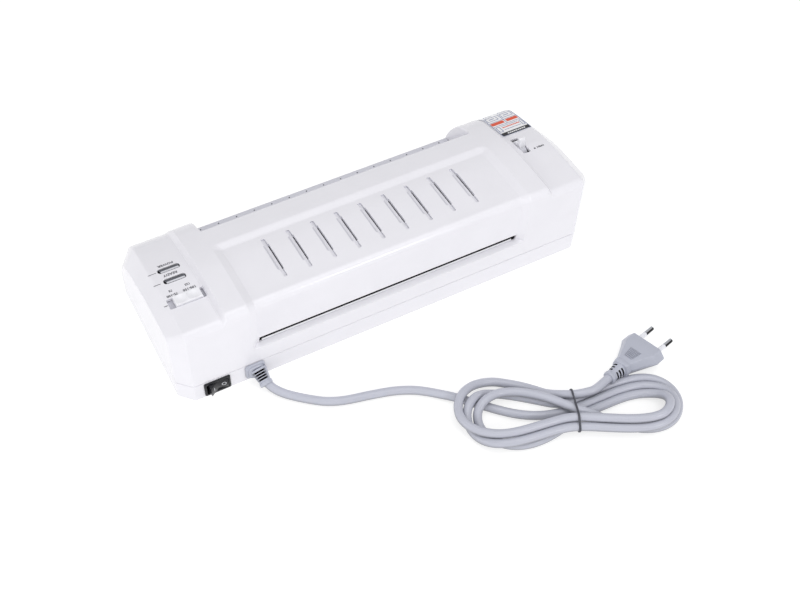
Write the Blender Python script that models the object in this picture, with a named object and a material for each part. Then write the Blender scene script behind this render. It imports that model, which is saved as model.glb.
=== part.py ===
"""Desktop pouch laminator with its mains lead, modelled piece by piece.

The exit side faces -Y, the feed side faces +Y, +X runs along the machine and +Z is up.
The origin is on the table, under the middle of the machine without its lead.  All sizes
are in metres.
"""
import math

import bmesh
import bpy
from mathutils import Matrix, Vector

# Casing
LENGTH = 0.360
DEPTH = 0.133
MIDDLE_DEPTH = 0.0645
CORNER = 0.0105
WALL = 0.0025
GAP = 0.0003
FOOT_HEIGHT = 0.0012
SEAM = 0.0200
EDGE_ROUND = 0.006
TOP_LINE = ((0.006, 0.0829), (0.030, 0.0818), (0.055, 0.0796), (0.080, 0.0738),
            (0.105, 0.0664), (0.133, 0.0560))
FAR_ARC_RADIUS = 0.050
FAR_ARC_Z = 0.0227

# Raised middle, sunk panel and the openings in the cover
STEP_FOOT = 0.0395
STEP_HEAD = 0.0435
STEP_RISE = 0.0051
STEP_FADE_FROM = 0.097
PANEL_OUTER = 0.0600
PANEL_INNER = 0.0673
PANEL_SINK = 0.0030
PANEL_FAR_INNER = 0.0664
PANEL_FAR_OUTER = 0.0726
LEDGE_LOW = 0.0367
LEDGE_HIGH = 0.0378
LEDGE_DEPTH = 0.0045
SLOT_TOP = 0.0452
TRAY_SIDE = 0.0610
OVERHANG_DEPTH = 0.0962
OVERHANG_LOW = 0.0457
VENT_COUNT = 9
VENT_PITCH = 0.02045
VENT_SPAN = (0.0185, 0.0617)
VENT_WIDE_SPAN = (0.0263, 0.0545)
VENT_NARROW = 0.0027
VENT_WIDE = 0.0054
VENT_SLIT = 0.0009

# Operating pieces on the cover, as distances from the left end and the near face
LAMP_RUN = 0.0255
LAMP_DEPTHS = {"power_lamp_lens": 0.0705, "ready_lamp_lens": 0.0572}
LAMP_SIZE = (0.0174, 0.0058)
SLIDER_SLOT = ((0.0118, 0.0400), (0.0295, 0.0395))
SLIDER_KNOB = (0.0165, 0.0374)
LEVER_SLOT = ((0.3245, 0.3308), (0.0502, 0.0715))
LEVER_PIVOT = (0.0615, 0.0655)
LABEL_RUN = (0.3220, 0.3495)
LABEL_DEPTH = (0.0780, 0.1235)

# Mains switch and cord entry in the near wall of the base
SWITCH_RUN = (0.0184, 0.0397)
SWITCH_Z = (0.0037, 0.0190)
ROCKER_TILT = math.radians(12)
INLET_RUN = (0.0520, 0.0680)
INLET_Z = (0.0055, 0.0204)

# Rollers and gear train, seen along X
NIP_Z = 0.0415
MODULE = 0.00102
HEAT_TEETH = 20
EXIT_TEETH = 16
IDLER_TEETH = 16
PINION_TEETH = 10
HEAT_DEPTH = 0.0640
EXIT_DEPTH = 0.0310
ROLLER_CLEARANCE = 0.0002
GEAR_RUN = (0.3170, 0.3215)
FRAME_RUNS = {"left": 0.0460, "right": 0.3125}
FRAME_SHEET = 0.0015
JOURNAL = 0.0030

# Mains lead
CORD_DIAMETER = 0.007
HANK_ENDS = ((0.2100, -0.1170, 0.0315), (0.3150, -0.1590, 0.0272))
HANK_HEIGHT = 0.0080
WAIST_HEIGHT = 0.0165
WAIST_HALF = 0.0160
WAIST_SHIFT = -0.0040
WAIST_LENGTH = 0.0180
TIE_THICKNESS = 0.0014
PLUG_FACE = (0.3441, -0.1174, 0.0089)
PLUG_HEADING = math.radians(15.7)
PLUG_DIP = math.radians(3)
PLUG_ROLL = math.radians(-7.2)
# Sections of the plug's body, from its face back to the neck: place, widest, flat and half thickness
PLUG_STATIONS = ((0.0, 0.0168, 0.0124, 0.0062), (-0.0010, 0.0176, 0.0129, 0.0067),
                 (-0.0088, 0.0176, 0.0129, 0.0067), (-0.0140, 0.0146, 0.0109, 0.0066),
                 (-0.0284, 0.0077, 0.0055, 0.0062), (-0.0335, 0.0074, 0.0055, 0.0062))
PIN_SPACING = 0.019

WHITE = (0.86, 0.86, 0.89)
CORD_GREY = (0.47, 0.49, 0.58)
BLACK = (0.02, 0.02, 0.025)
STEEL = (0.55, 0.56, 0.58)


def x_at(run):
    """X of a point this far from the left end of the casing."""
    return run - LENGTH / 2


def y_at(depth):
    """Y of a point this far behind the near face of the casing."""
    return depth - MIDDLE_DEPTH


def clear_scene():
    for item in list(bpy.data.objects):
        bpy.data.objects.remove(item, do_unlink=True)


def material(name, colour, roughness, metallic):
    made = bpy.data.materials.new(name)
    made.use_nodes = True
    shader = made.node_tree.nodes["Principled BSDF"]
    shader.inputs["Base Color"].default_value = (*colour, 1.0)
    shader.inputs["Roughness"].default_value = roughness
    shader.inputs["Metallic"].default_value = metallic
    made.diffuse_color = (*colour, 1.0)
    return made


def finish(name, mesh, colour, roughness=0.5, metallic=0.0, origin=(0, 0, 0), smooth=False):
    """Put a mesh given in world coordinates into the scene with its origin at a chosen point."""
    mesh.transform(Matrix.Translation(-Vector(origin)))
    if smooth:
        mesh.shade_smooth()
        mesh.set_sharp_from_angle(angle=math.radians(35))
    piece = bpy.data.objects.new(name, mesh)
    piece.location = origin
    mesh.materials.append(material(name, colour, roughness, metallic))
    bpy.context.scene.collection.objects.link(piece)
    return piece


def mesh_from(points, faces):
    mesh = bpy.data.meshes.new("shape")
    mesh.from_pydata([tuple(p) for p in points], [], faces)
    work = bmesh.new()
    work.from_mesh(mesh)
    bmesh.ops.recalc_face_normals(work, faces=work.faces)
    work.to_mesh(mesh)
    work.free()
    return mesh


def joined(meshes):
    """One mesh that holds several separate closed shapes."""
    work = bmesh.new()
    for mesh in meshes:
        work.from_mesh(mesh)
    result = bpy.data.meshes.new("shape")
    work.to_mesh(result)
    work.free()
    return result


def loft(rings):
    """Closed shape through rings of points, capped at the first and the last ring."""
    count = len(rings[0])
    points = [p for ring in rings for p in ring]
    faces = [list(range(count))]
    for i in range(len(rings) - 1):
        for j in range(count):
            k = (j + 1) % count
            faces.append([i * count + j, i * count + k, (i + 1) * count + k, (i + 1) * count + j])
    faces.append([(len(rings) - 1) * count + j for j in range(count)])
    return mesh_from(points, faces)


def prism_x(outline, low, high):
    """A (y, z) outline carried along X."""
    return loft([[(x, y, z) for y, z in outline] for x in (low, high)])


def prism_y(outline, low, high):
    """An (x, z) outline carried along Y."""
    return loft([[(x, y, z) for x, z in outline] for y in (low, high)])


def prism_z(outline, low, high):
    """An (x, y) outline carried along Z."""
    return loft([[(x, y, z) for x, y in outline] for z in (low, high)])


def block(low, high):
    return prism_z([(low[0], low[1]), (high[0], low[1]), (high[0], high[1]), (low[0], high[1])],
                   low[2], high[2])


def rounded_rectangle(centre, size, radius, steps=4):
    points = []
    for corner in range(4):
        turn = corner * math.pi / 2
        sx = 1 if corner in (0, 3) else -1
        sy = 1 if corner in (0, 1) else -1
        cx = centre[0] + sx * (size[0] / 2 - radius)
        cy = centre[1] + sy * (size[1] / 2 - radius)
        for i in range(steps + 1):
            a = turn + i * math.pi / 2 / steps
            points.append((cx + radius * math.cos(a), cy + radius * math.sin(a)))
    return points


def circle(centre, radius, sides):
    return [(centre[0] + radius * math.cos(2 * math.pi * i / sides),
             centre[1] + radius * math.sin(2 * math.pi * i / sides)) for i in range(sides)]


def turned(steps, start, direction, sides):
    """Solid of revolution: steps are (distance along the axis, radius)."""
    along = Vector(direction).normalized()
    side = along.orthogonal().normalized()
    other = along.cross(side)
    rings = []
    for distance, radius in steps:
        middle = Vector(start) + along * distance
        rings.append([middle + (side * math.cos(2 * math.pi * i / sides)
                                + other * math.sin(2 * math.pi * i / sides)) * radius
                      for i in range(sides)])
    return loft(rings)


def ring_x(depth, z, outer, inner, run, width, sides=16):
    """Flat ring round an axis along X."""
    body = prism_x(circle((y_at(depth), z), outer, sides), x_at(run), x_at(run + width))
    hole = prism_x(circle((y_at(depth), z), inner, sides), x_at(run) - 0.01, x_at(run + width) + 0.01)
    return cut(body, hole)


def cut(mesh, cutter, operation="DIFFERENCE"):
    """The first mesh after a Boolean with the second."""
    holder = bpy.data.objects.new("holder", mesh)
    tool = bpy.data.objects.new("tool", cutter)
    for item in (holder, tool):
        bpy.context.scene.collection.objects.link(item)
    step = holder.modifiers.new("cut", "BOOLEAN")
    step.operation = operation
    step.solver = "EXACT"
    step.object = tool
    seen = holder.evaluated_get(bpy.context.evaluated_depsgraph_get())
    result = bpy.data.meshes.new_from_object(seen)
    for item in (holder, tool):
        bpy.data.objects.remove(item, do_unlink=True)
    return result


def through(points, where):
    """Height of a smooth curve through (position, height) points."""
    last = len(points) - 1
    k = max(i for i in range(last) if points[i][0] <= where or i == 0)
    slopes = []
    for i in (k, k + 1):
        a = points[max(i - 1, 0)]
        b = points[min(i + 1, last)]
        slopes.append((b[1] - a[1]) / (b[0] - a[0]))
    span = points[k + 1][0] - points[k][0]
    t = (where - points[k][0]) / span
    return ((2 * t**3 - 3 * t**2 + 1) * points[k][1] + (t**3 - 2 * t**2 + t) * span * slopes[0]
            + (3 * t**2 - 2 * t**3) * points[k + 1][1] + (t**3 - t**2) * span * slopes[1])


def smooth_path(points, spacing):
    """Evenly read points of a Catmull-Rom curve through the given 3-D points."""
    knots = [Vector(p) for p in points]
    knots = [2 * knots[0] - knots[1]] + knots + [2 * knots[-1] - knots[-2]]
    path = []
    for i in range(1, len(knots) - 2):
        a, b, c, d = knots[i - 1:i + 3]
        parts = max(2, round((c - b).length / spacing))
        for j in range(parts):
            t = j / parts
            path.append(0.5 * (2 * b + (c - a) * t + (2 * a - 5 * b + 4 * c - d) * t**2
                               + (3 * b - a - 3 * c + d) * t**3))
    path.append(knots[-2])
    return path


# The top cover and everything that is cut into it

def top_height(depth, raised=0.0):
    """Height of the cover above the table, this far behind the near face."""
    height = through(TOP_LINE, max(depth, TOP_LINE[0][0]))
    arc_middle = DEPTH - FAR_ARC_RADIUS
    if depth > arc_middle:
        height = min(height, FAR_ARC_Z + math.sqrt(max(FAR_ARC_RADIUS**2 - (depth - arc_middle)**2, 0)))
    fade = min(max((depth - STEP_FADE_FROM) / (DEPTH - STEP_FADE_FROM), 0), 1)
    return height + raised * (1 - fade * fade * (3 - 2 * fade))


def cover_line(raised, sink, ledge):
    """The cover's outside from the near seam up, over the top and down to the far seam."""
    low = SEAM + GAP / 2
    step_in = ledge * LEDGE_DEPTH
    line = [(0.0, low), (0.0, LEDGE_LOW), (step_in, LEDGE_HIGH), (sink, SLOT_TOP)]
    if not ledge:
        line = [(sink, low), (sink, LEDGE_LOW), (sink, LEDGE_HIGH), (sink, SLOT_TOP)]
    middle = top_height(EDGE_ROUND, raised) - sink - EDGE_ROUND
    for i in range(5):
        a = i * math.pi / 8
        line.append((sink + EDGE_ROUND * (1 - math.cos(a)), middle + EDGE_ROUND * math.sin(a)))
    for depth in (0.018, 0.030, 0.042, 0.054, PANEL_FAR_INNER):
        line.append((depth, top_height(depth, raised) - sink))
    for depth in (PANEL_FAR_OUTER, 0.081, 0.090, STEP_FADE_FROM, 0.105, 0.111, 0.116, 0.120, 0.124,
                  0.127, 0.130, 0.132):
        line.append((depth, top_height(depth, raised)))
    line.append((DEPTH, FAR_ARC_Z))
    line.append((DEPTH, low))
    return line


def squeezed(line, corner):
    """The same line at the very end of the casing, inside the corner chamfers."""
    shrink = (DEPTH - 2 * corner) / DEPTH
    return [(corner + depth * shrink, z - corner * min(max((z - FAR_ARC_Z) / 0.03, 0), 1))
            for depth, z in line]


def inset(line, distance):
    """The line moved inwards by a wall thickness, along its normals."""
    moved = []
    for i, (depth, z) in enumerate(line):
        a = line[max(i - 1, 0)]
        b = line[min(i + 1, len(line) - 1)]
        run, rise = b[0] - a[0], b[1] - a[1]
        size = math.hypot(run, rise)
        moved.append((depth + distance * rise / size, z - distance * run / size))
    return moved


def crossing(a, b, depth):
    """Height where the stretch between two points passes a depth."""
    return a[1] + (b[1] - a[1]) * (depth - a[0]) / (b[0] - a[0])


def clipped(line, low, high):
    """The part of the line between two depths, with upright ends that run down below the seam."""
    inside = [i for i, (depth, _) in enumerate(line) if low < depth < high]
    first, last = inside[0], inside[-1]
    result = [(max(low, line[0][0]), 0.0)]
    if first > 0:
        top = crossing(line[first - 1], line[first], low)
        result += [(low, top * (k + 1) / first) for k in range(first)]
    result += line[first:last + 1]
    after = len(line) - 1 - last
    if after > 0:
        top = crossing(line[last], line[last + 1], high)
        result += [(high, top * (after - k) / after) for k in range(after)]
    return result + [(min(high, line[-1][0]), 0.0)]


def station_rings(stations):
    return [[(x_at(run), y_at(depth), z) for depth, z in line] for run, line in stations]


def mirrored(stations):
    """Stations of the left half, followed by the same stations at the right end."""
    return stations + [(LENGTH - run, line) for run, line in reversed(stations)]


def cover_block():
    plain = cover_line(0.0, 0.0, False)
    raised = cover_line(STEP_RISE, 0.0, False)
    sunk = cover_line(STEP_RISE, PANEL_SINK, True)
    return loft(station_rings(mirrored([
        (0.0, squeezed(plain, CORNER)), (CORNER, plain), (STEP_FOOT, plain), (STEP_HEAD, raised),
        (PANEL_OUTER, raised), (PANEL_INNER, sunk)])))


def main_void():
    plain = inset(cover_line(0.0, 0.0, False), WALL)
    raised = inset(cover_line(STEP_RISE, 0.0, False), WALL)
    sunk = inset(cover_line(STEP_RISE, PANEL_SINK, False), WALL)
    limit = OVERHANG_DEPTH - WALL
    stations = [(WALL, squeezed(plain, CORNER)), (CORNER + 0.001, plain), (STEP_FOOT + 0.002, plain),
                (STEP_HEAD + 0.002, raised), (PANEL_OUTER - 0.002, raised), (PANEL_INNER - 0.002, sunk)]
    return loft(station_rings(mirrored([(run, clipped(line, 0.0, limit)) for run, line in stations])))


def cheek_void(right):
    """Space inside one end of the cover, behind the main void."""
    plain = inset(cover_line(0.0, 0.0, False), WALL)
    raised = inset(cover_line(STEP_RISE, 0.0, False), WALL)
    stations = [(WALL, squeezed(plain, CORNER)), (CORNER + 0.001, plain), (STEP_FOOT + 0.002, plain),
                (STEP_HEAD + 0.002, raised), (TRAY_SIDE - WALL, raised)]
    stations = [(run, clipped(line, OVERHANG_DEPTH - 0.006, DEPTH)) for run, line in stations]
    if right:
        stations = [(LENGTH - run, line) for run, line in stations]
    return loft(station_rings(stations))


def tray_gap():
    """Everything behind and below the overhanging middle, where the feed tray lies."""
    outline = [(OVERHANG_DEPTH, 0.12), (OVERHANG_DEPTH, 0.072), (OVERHANG_DEPTH + 0.0025, OVERHANG_LOW),
               (0.090, OVERHANG_LOW), (0.090, 0.0), (DEPTH + 0.01, 0.0), (DEPTH + 0.01, 0.12)]
    return prism_x([(y_at(d), z) for d, z in outline], x_at(TRAY_SIDE), x_at(LENGTH - TRAY_SIDE))


def vent_runs():
    first = LENGTH / 2 - VENT_PITCH * (VENT_COUNT - 1) / 2
    return [first + VENT_PITCH * i for i in range(VENT_COUNT)]


def vent_groove(run):
    """Shallow cross-shaped groove that follows the slope of the panel."""
    narrow, wide = VENT_NARROW / 2, VENT_WIDE / 2
    near, far = VENT_SPAN
    wide_near, wide_far = VENT_WIDE_SPAN
    half = [(-narrow, near), (narrow, near), (narrow, wide_near), (wide, wide_near)]
    plan = half + [(wide, wide_far), (narrow, wide_far), (narrow, far), (-narrow, far),
                   (-narrow, wide_far), (-wide, wide_far), (-wide, wide_near), (-narrow, wide_near)]
    floor = PANEL_SINK + 0.0012
    low = [(x_at(run + a), y_at(d), top_height(d, STEP_RISE) - floor) for a, d in plan]
    high = [(x_at(run + a), y_at(d), 0.10) for a, d in plan]
    return loft([low, high])


def cover_openings():
    """Slits under the vents, lamp windows, slider slot, lever slot and exit slot."""
    near, far = VENT_WIDE_SPAN
    cutters = [block((x_at(run + VENT_WIDE / 2 - VENT_SLIT - 0.0002), y_at(near + 0.0006), 0.070),
                     (x_at(run + VENT_WIDE / 2 - 0.0002), y_at(far - 0.0006), 0.10))
               for run in vent_runs()]
    for depth in LAMP_DEPTHS.values():
        cutters.append(prism_z(rounded_rectangle((x_at(LAMP_RUN), y_at(depth)), LAMP_SIZE, 0.002),
                               0.065, 0.10))
    for runs, depths in (SLIDER_SLOT, LEVER_SLOT):
        cutters.append(block((x_at(runs[0]), y_at(depths[0]), 0.060),
                             (x_at(runs[1]), y_at(depths[1]), 0.10)))
    cutters.append(block((x_at(PANEL_INNER), y_at(-0.002), LEDGE_HIGH),
                         (x_at(LENGTH - PANEL_INNER), y_at(0.012), SLOT_TOP)))
    return joined(cutters)


def top_cover():
    mesh = cover_block()
    mesh = cut(mesh, main_void())
    mesh = cut(mesh, joined([cheek_void(False), cheek_void(True)]))
    mesh = cut(mesh, tray_gap())
    mesh = cut(mesh, joined([vent_groove(run) for run in vent_runs()]))
    mesh = cut(mesh, cover_openings())
    finish("top_cover", mesh, WHITE, 0.45)


# The base and what stands on it

def base_outline(shrink):
    """Plan of the base with its four corners cut off, made smaller by a wall thickness."""
    half_x = LENGTH / 2 - shrink
    near, far = y_at(shrink), y_at(DEPTH - shrink)
    corner = CORNER - shrink * 0.4
    return [(half_x - corner, far), (-half_x + corner, far), (-half_x, far - corner),
            (-half_x, near + corner), (-half_x + corner, near), (half_x - corner, near),
            (half_x, near + corner), (half_x, far - corner)]


def screw_places():
    return [(x_at(run), y_at(depth)) for run in (0.022, LENGTH - 0.022) for depth in (0.020, DEPTH - 0.020)]


def foot_places():
    return [(x_at(run), y_at(depth)) for run in (0.040, LENGTH - 0.040) for depth in (0.018, DEPTH - 0.018)]


def base_tray():
    floor_top = FOOT_HEIGHT + WALL
    mesh = prism_z(base_outline(0.0), FOOT_HEIGHT, SEAM - GAP / 2)
    mesh = cut(mesh, prism_z(base_outline(WALL), floor_top, SEAM + 0.01))
    holes = [prism_z(circle(place, 0.0018, 12), 0.0, 0.010) for place in screw_places()]
    mesh = cut(mesh, joined(holes))
    recesses = [prism_z(circle(place, 0.0042, 16), 0.0, FOOT_HEIGHT + 0.0015) for place in screw_places()]
    mesh = cut(mesh, joined(recesses))
    wall = (y_at(-0.001), y_at(WALL + 0.001))
    switch_hole = block((x_at(SWITCH_RUN[0] + 0.0010), wall[0], SWITCH_Z[0] + 0.0010),
                        (x_at(SWITCH_RUN[1] - 0.0010), wall[1], SWITCH_Z[1] - 0.0010))
    middle_run, middle_z = sum(INLET_RUN) / 2, sum(INLET_Z) / 2
    cord_hole = block((x_at(middle_run - 0.0055), wall[0], middle_z - 0.0050),
                      (x_at(middle_run + 0.0055), wall[1], middle_z + 0.0050))
    mesh = cut(mesh, joined([switch_hole, cord_hole]))
    finish("base_tray", mesh, WHITE, 0.5)


def feet_and_screws():
    names = ("near_left", "far_left", "near_right", "far_right")
    for name, (x, y) in zip(names, foot_places()):
        mesh = turned([(0.0, 0.0048), (FOOT_HEIGHT - GAP, 0.0055)], (x, y, 0.0), (0, 0, 1), 20)
        finish("foot_" + name, mesh, (0.25, 0.25, 0.27), 0.9, smooth=True)
    for name, (x, y) in zip(names, screw_places()):
        steps = [(0.0, 0.0026), (0.0004, 0.0034), (0.0010, 0.0034), (0.0010, 0.0014), (0.0125, 0.0014)]
        mesh = turned(steps, (x, y, 0.0013), (0, 0, 1), 14)
        finish("case_screw_" + name, mesh, STEEL, 0.3, 1.0, smooth=True)


def feed_tray():
    """Shelf behind the overhang, with an apron down its outer edge to the base."""
    outline = [(0.0935, 0.0385), (0.1288, 0.0385), (0.1302, 0.0372), (0.1327, 0.0260), (0.1327, 0.0203),
               (0.1303, 0.0203), (0.1303, 0.0255), (0.1282, 0.0361), (0.0935, 0.0361)]
    side = TRAY_SIDE + GAP
    mesh = prism_x([(y_at(d), z) for d, z in outline], x_at(side), x_at(LENGTH - side))
    finish("feed_tray", mesh, (0.62, 0.62, 0.67), 0.5)


def exit_guide():
    """Bright strip that carries the pouch from the exit rollers to the lip of the slot."""
    outline = [(0.0048, 0.0381), (0.0048, 0.0404), (0.0205, 0.0404), (0.0205, 0.0392), (0.0078, 0.0388),
               (0.0078, 0.0300), (0.0064, 0.0300), (0.0064, 0.0381)]
    side = PANEL_INNER + 0.0024
    mesh = prism_x([(y_at(d), z) for d, z in outline], x_at(side), x_at(LENGTH - side))
    finish("exit_guide", mesh, (0.8, 0.8, 0.82), 0.3)


# Pieces the user touches or reads

def on_cover(plan, rise, low):
    """A plan carried from a flat foot up to a top that follows the cover."""
    foot = [(x_at(run), y_at(depth), low) for run, depth in plan]
    top = [(x_at(run), y_at(depth), top_height(depth) + rise) for run, depth in plan]
    return loft([foot, top])


def lamp_lenses():
    for name, depth in LAMP_DEPTHS.items():
        size = (LAMP_SIZE[0] - 0.0008, LAMP_SIZE[1] - 0.0008)
        plan = rounded_rectangle((LAMP_RUN, depth), size, 0.0017)
        finish(name, on_cover(plan, -0.0008, 0.0700), (0.55, 0.56, 0.6), 0.15)


def mode_slider():
    """Thumb slider: a cap with two finger scoops and a stem down to its switch."""
    left, right = SLIDER_KNOB
    near, far = SLIDER_SLOT[1]
    middle = (left + right) / 2
    deck = top_height((near + far) / 2)
    span = right - left
    crest = []
    for i in range(17):
        t = i / 16
        wave = 0.0021 + 0.0012 * math.cos(4 * math.pi * t)
        crest.append((x_at(left + span * t), deck + wave))
    under = deck - 0.0030
    outline = crest + [(x_at(right), under), (x_at(middle + 0.002), under),
                       (x_at(middle + 0.002), 0.0725), (x_at(middle - 0.002), 0.0725),
                       (x_at(middle - 0.002), under), (x_at(left), under)]
    mesh = prism_y(outline, y_at(near + GAP), y_at(far - GAP))
    finish("mode_slider_knob", mesh, WHITE, 0.4, origin=(x_at(middle), y_at((near + far) / 2), deck))


def lever_outline():
    """Side view of the release lever: pivot boss, web and a saddle between two finger ears."""
    pivot = Vector((y_at(LEVER_PIVOT[0]), LEVER_PIVOT[1]))
    boss = 0.0045
    points = []
    for i in range(9):
        a = math.pi * (1.1 + 0.8 * i / 8)
        points.append((pivot.x + boss * math.cos(a), pivot.y + boss * math.sin(a)))
    far_side = [(0.0700, 0.0750), (0.0704, 0.0792), (0.0692, 0.0818), (0.0674, 0.0820)]
    saddle = [(0.0652, 0.0806), (0.0636, 0.0812), (0.0622, 0.0836)]
    near_side = [(0.0612, 0.0862), (0.0598, 0.0868), (0.0586, 0.0856), (0.0578, 0.0815), (0.0574, 0.0760)]
    points += [(y_at(d), z) for d, z in far_side + saddle + near_side]
    return points


def release_lever():
    low, high = (x_at(r) for r in LEVER_SLOT[0])
    mesh = prism_x(lever_outline(), low + GAP, high - GAP)
    pivot = (y_at(LEVER_PIVOT[0]), LEVER_PIVOT[1])
    mesh = cut(mesh, prism_x(circle(pivot, 0.0018, 12), low - 0.01, high + 0.01))
    origin = ((low + high) / 2, *pivot)
    finish("release_lever", mesh, WHITE, 0.4, origin=origin)
    pin = prism_x(circle(pivot, 0.0015, 12), x_at(FRAME_RUNS["right"] + FRAME_SHEET + GAP), high + 0.003)
    finish("lever_pin", pin, STEEL, 0.3, 1.0, smooth=True)


def instruction_label():
    """Thin printed label bent over the far slope of the right end."""
    near, far = LABEL_DEPTH
    line = [(near + (far - near) * i / 16, 0.0) for i in range(17)]
    line = [(depth, top_height(depth)) for depth, _ in line]
    lower, upper = inset(line, -GAP), inset(line, -GAP - 0.0003)
    outline = [(y_at(d), z) for d, z in lower + upper[::-1]]
    mesh = prism_x(outline, x_at(LABEL_RUN[0]), x_at(LABEL_RUN[1]))
    finish("instruction_label", mesh, (0.9, 0.9, 0.92), 0.4)


def mains_switch():
    """Black bezel with a pocket, and the rocker that tilts in it about an upright axis."""
    x0, x1 = (x_at(r) for r in SWITCH_RUN)
    z0, z1 = SWITCH_Z
    flange = block((x0, y_at(-0.0013), z0), (x1, y_at(-GAP), z1))
    body = block((x0 + 0.0013, y_at(-0.0008), z0 + 0.0013), (x1 - 0.0013, y_at(0.0130), z1 - 0.0013))
    pocket = block((x0 + 0.0020, y_at(-0.003), z0 + 0.0021), (x1 - 0.0020, y_at(0.0110), z1 - 0.0021))
    finish("switch_bezel", cut(cut(flange, body, "UNION"), pocket), BLACK, 0.35)
    pivot = Vector(((x0 + x1) / 2, y_at(0.0015), 0))
    half = (x1 - x0) / 2 - 0.0031
    front = [(-half, -0.0041), (-half * 0.5, -0.0034), (0.0, -0.0027), (half * 0.5, -0.0034), (half, -0.0041)]
    back = [(half, 0.0010), (half * 0.55, 0.0045), (-half * 0.55, 0.0045), (-half, 0.0010)]
    turn = Matrix.Rotation(ROCKER_TILT, 2)
    outline = [turn @ Vector(p) for p in front + back]
    mesh = prism_z([(pivot.x + p.x, pivot.y + p.y) for p in outline], z0 + 0.0024, z1 - 0.0024)
    finish("switch_rocker", mesh, BLACK, 0.3, origin=(pivot.x, pivot.y, (z0 + z1) / 2))


# Rollers, gears and the frame that holds them

def gear_line(teeth):
    return teeth * MODULE / 2


def roller_axes():
    """Depth and height of each roller axis."""
    return {"heat_roller_lower": (HEAT_DEPTH, NIP_Z - gear_line(HEAT_TEETH)),
            "heat_roller_upper": (HEAT_DEPTH, NIP_Z + gear_line(HEAT_TEETH)),
            "exit_roller_lower": (EXIT_DEPTH, NIP_Z - gear_line(EXIT_TEETH)),
            "exit_roller_upper": (EXIT_DEPTH, NIP_Z + gear_line(EXIT_TEETH))}


def rollers():
    for name, (depth, z) in roller_axes().items():
        teeth = HEAT_TEETH if name.startswith("heat") else EXIT_TEETH
        radius = gear_line(teeth) - ROLLER_CLEARANCE
        start, end = 0.0440, GEAR_RUN[0] + 0.0060
        steps = [(0.0, JOURNAL), (0.0180, JOURNAL), (0.0180, radius), (end - start - 0.0240, radius),
                 (end - start - 0.0240, JOURNAL), (end - start, JOURNAL)]
        mesh = turned(steps, (x_at(start), y_at(depth), z), (1, 0, 0), 24)
        colour = (0.55, 0.16, 0.10) if name.startswith("heat") else (0.30, 0.30, 0.32)
        finish(name, mesh, colour, 0.7, origin=(0, y_at(depth), z), smooth=True)
        for side, run in FRAME_RUNS.items():
            bush = ring_x(depth, z, 0.0048, JOURNAL + 0.0002, run - 0.0005, FRAME_SHEET + 0.0010)
            finish(name.replace("roller", "bush") + "_" + side, bush, (0.75, 0.70, 0.55), 0.4)


def gear(name, teeth, depth, z, phase, runs, bore):
    """Spur gear with flat-sided teeth that leave backlash on both flanks."""
    pitch_radius = gear_line(teeth)
    root, tip = pitch_radius - 1.10 * MODULE, pitch_radius + 0.72 * MODULE
    step = 2 * math.pi / teeth
    outline = []
    for i in range(teeth):
        middle = phase + i * step
        for part, radius in ((-0.29, root), (-0.12, tip), (0.12, tip), (0.29, root)):
            a = middle + part * step
            outline.append((y_at(depth) + radius * math.cos(a), z + radius * math.sin(a)))
    mesh = prism_x(outline, x_at(runs[0]), x_at(runs[1]))
    mesh = cut(mesh, prism_x(circle((y_at(depth), z), bore, 14), x_at(runs[0]) - 0.01, x_at(runs[1]) + 0.01))
    finish(name, mesh, (0.85, 0.84, 0.80), 0.5, origin=(x_at(runs[0]), y_at(depth), z))


def phase_in_mesh(driver, driver_teeth, driver_phase, driven, driven_teeth):
    """Phase that puts a gap of the driven gear where the driver has a tooth."""
    line = math.atan2(driven[1] - driver[1], driven[0] - driver[0])
    share = (line - driver_phase) * driver_teeth / (2 * math.pi)
    return line + math.pi - (0.5 - share) * 2 * math.pi / driven_teeth


def idler_place():
    """Axis of the idler, below the line between the two lower rollers."""
    axes = roller_axes()
    a, b = Vector(axes["heat_roller_lower"]), Vector(axes["exit_roller_lower"])
    ra = gear_line(HEAT_TEETH) + gear_line(IDLER_TEETH)
    rb = gear_line(EXIT_TEETH) + gear_line(IDLER_TEETH)
    apart = (b - a).length
    along = (apart**2 + ra**2 - rb**2) / (2 * apart)
    out = math.sqrt(ra**2 - along**2)
    direction = (b - a) / apart
    return a + direction * along + Vector((-direction.y, direction.x)) * out


def motor_place():
    heat = roller_axes()["heat_roller_lower"]
    reach = gear_line(HEAT_TEETH) + gear_line(PINION_TEETH)
    return heat[0] + reach * math.cos(math.radians(-18)), heat[1] + reach * math.sin(math.radians(-18))


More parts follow.
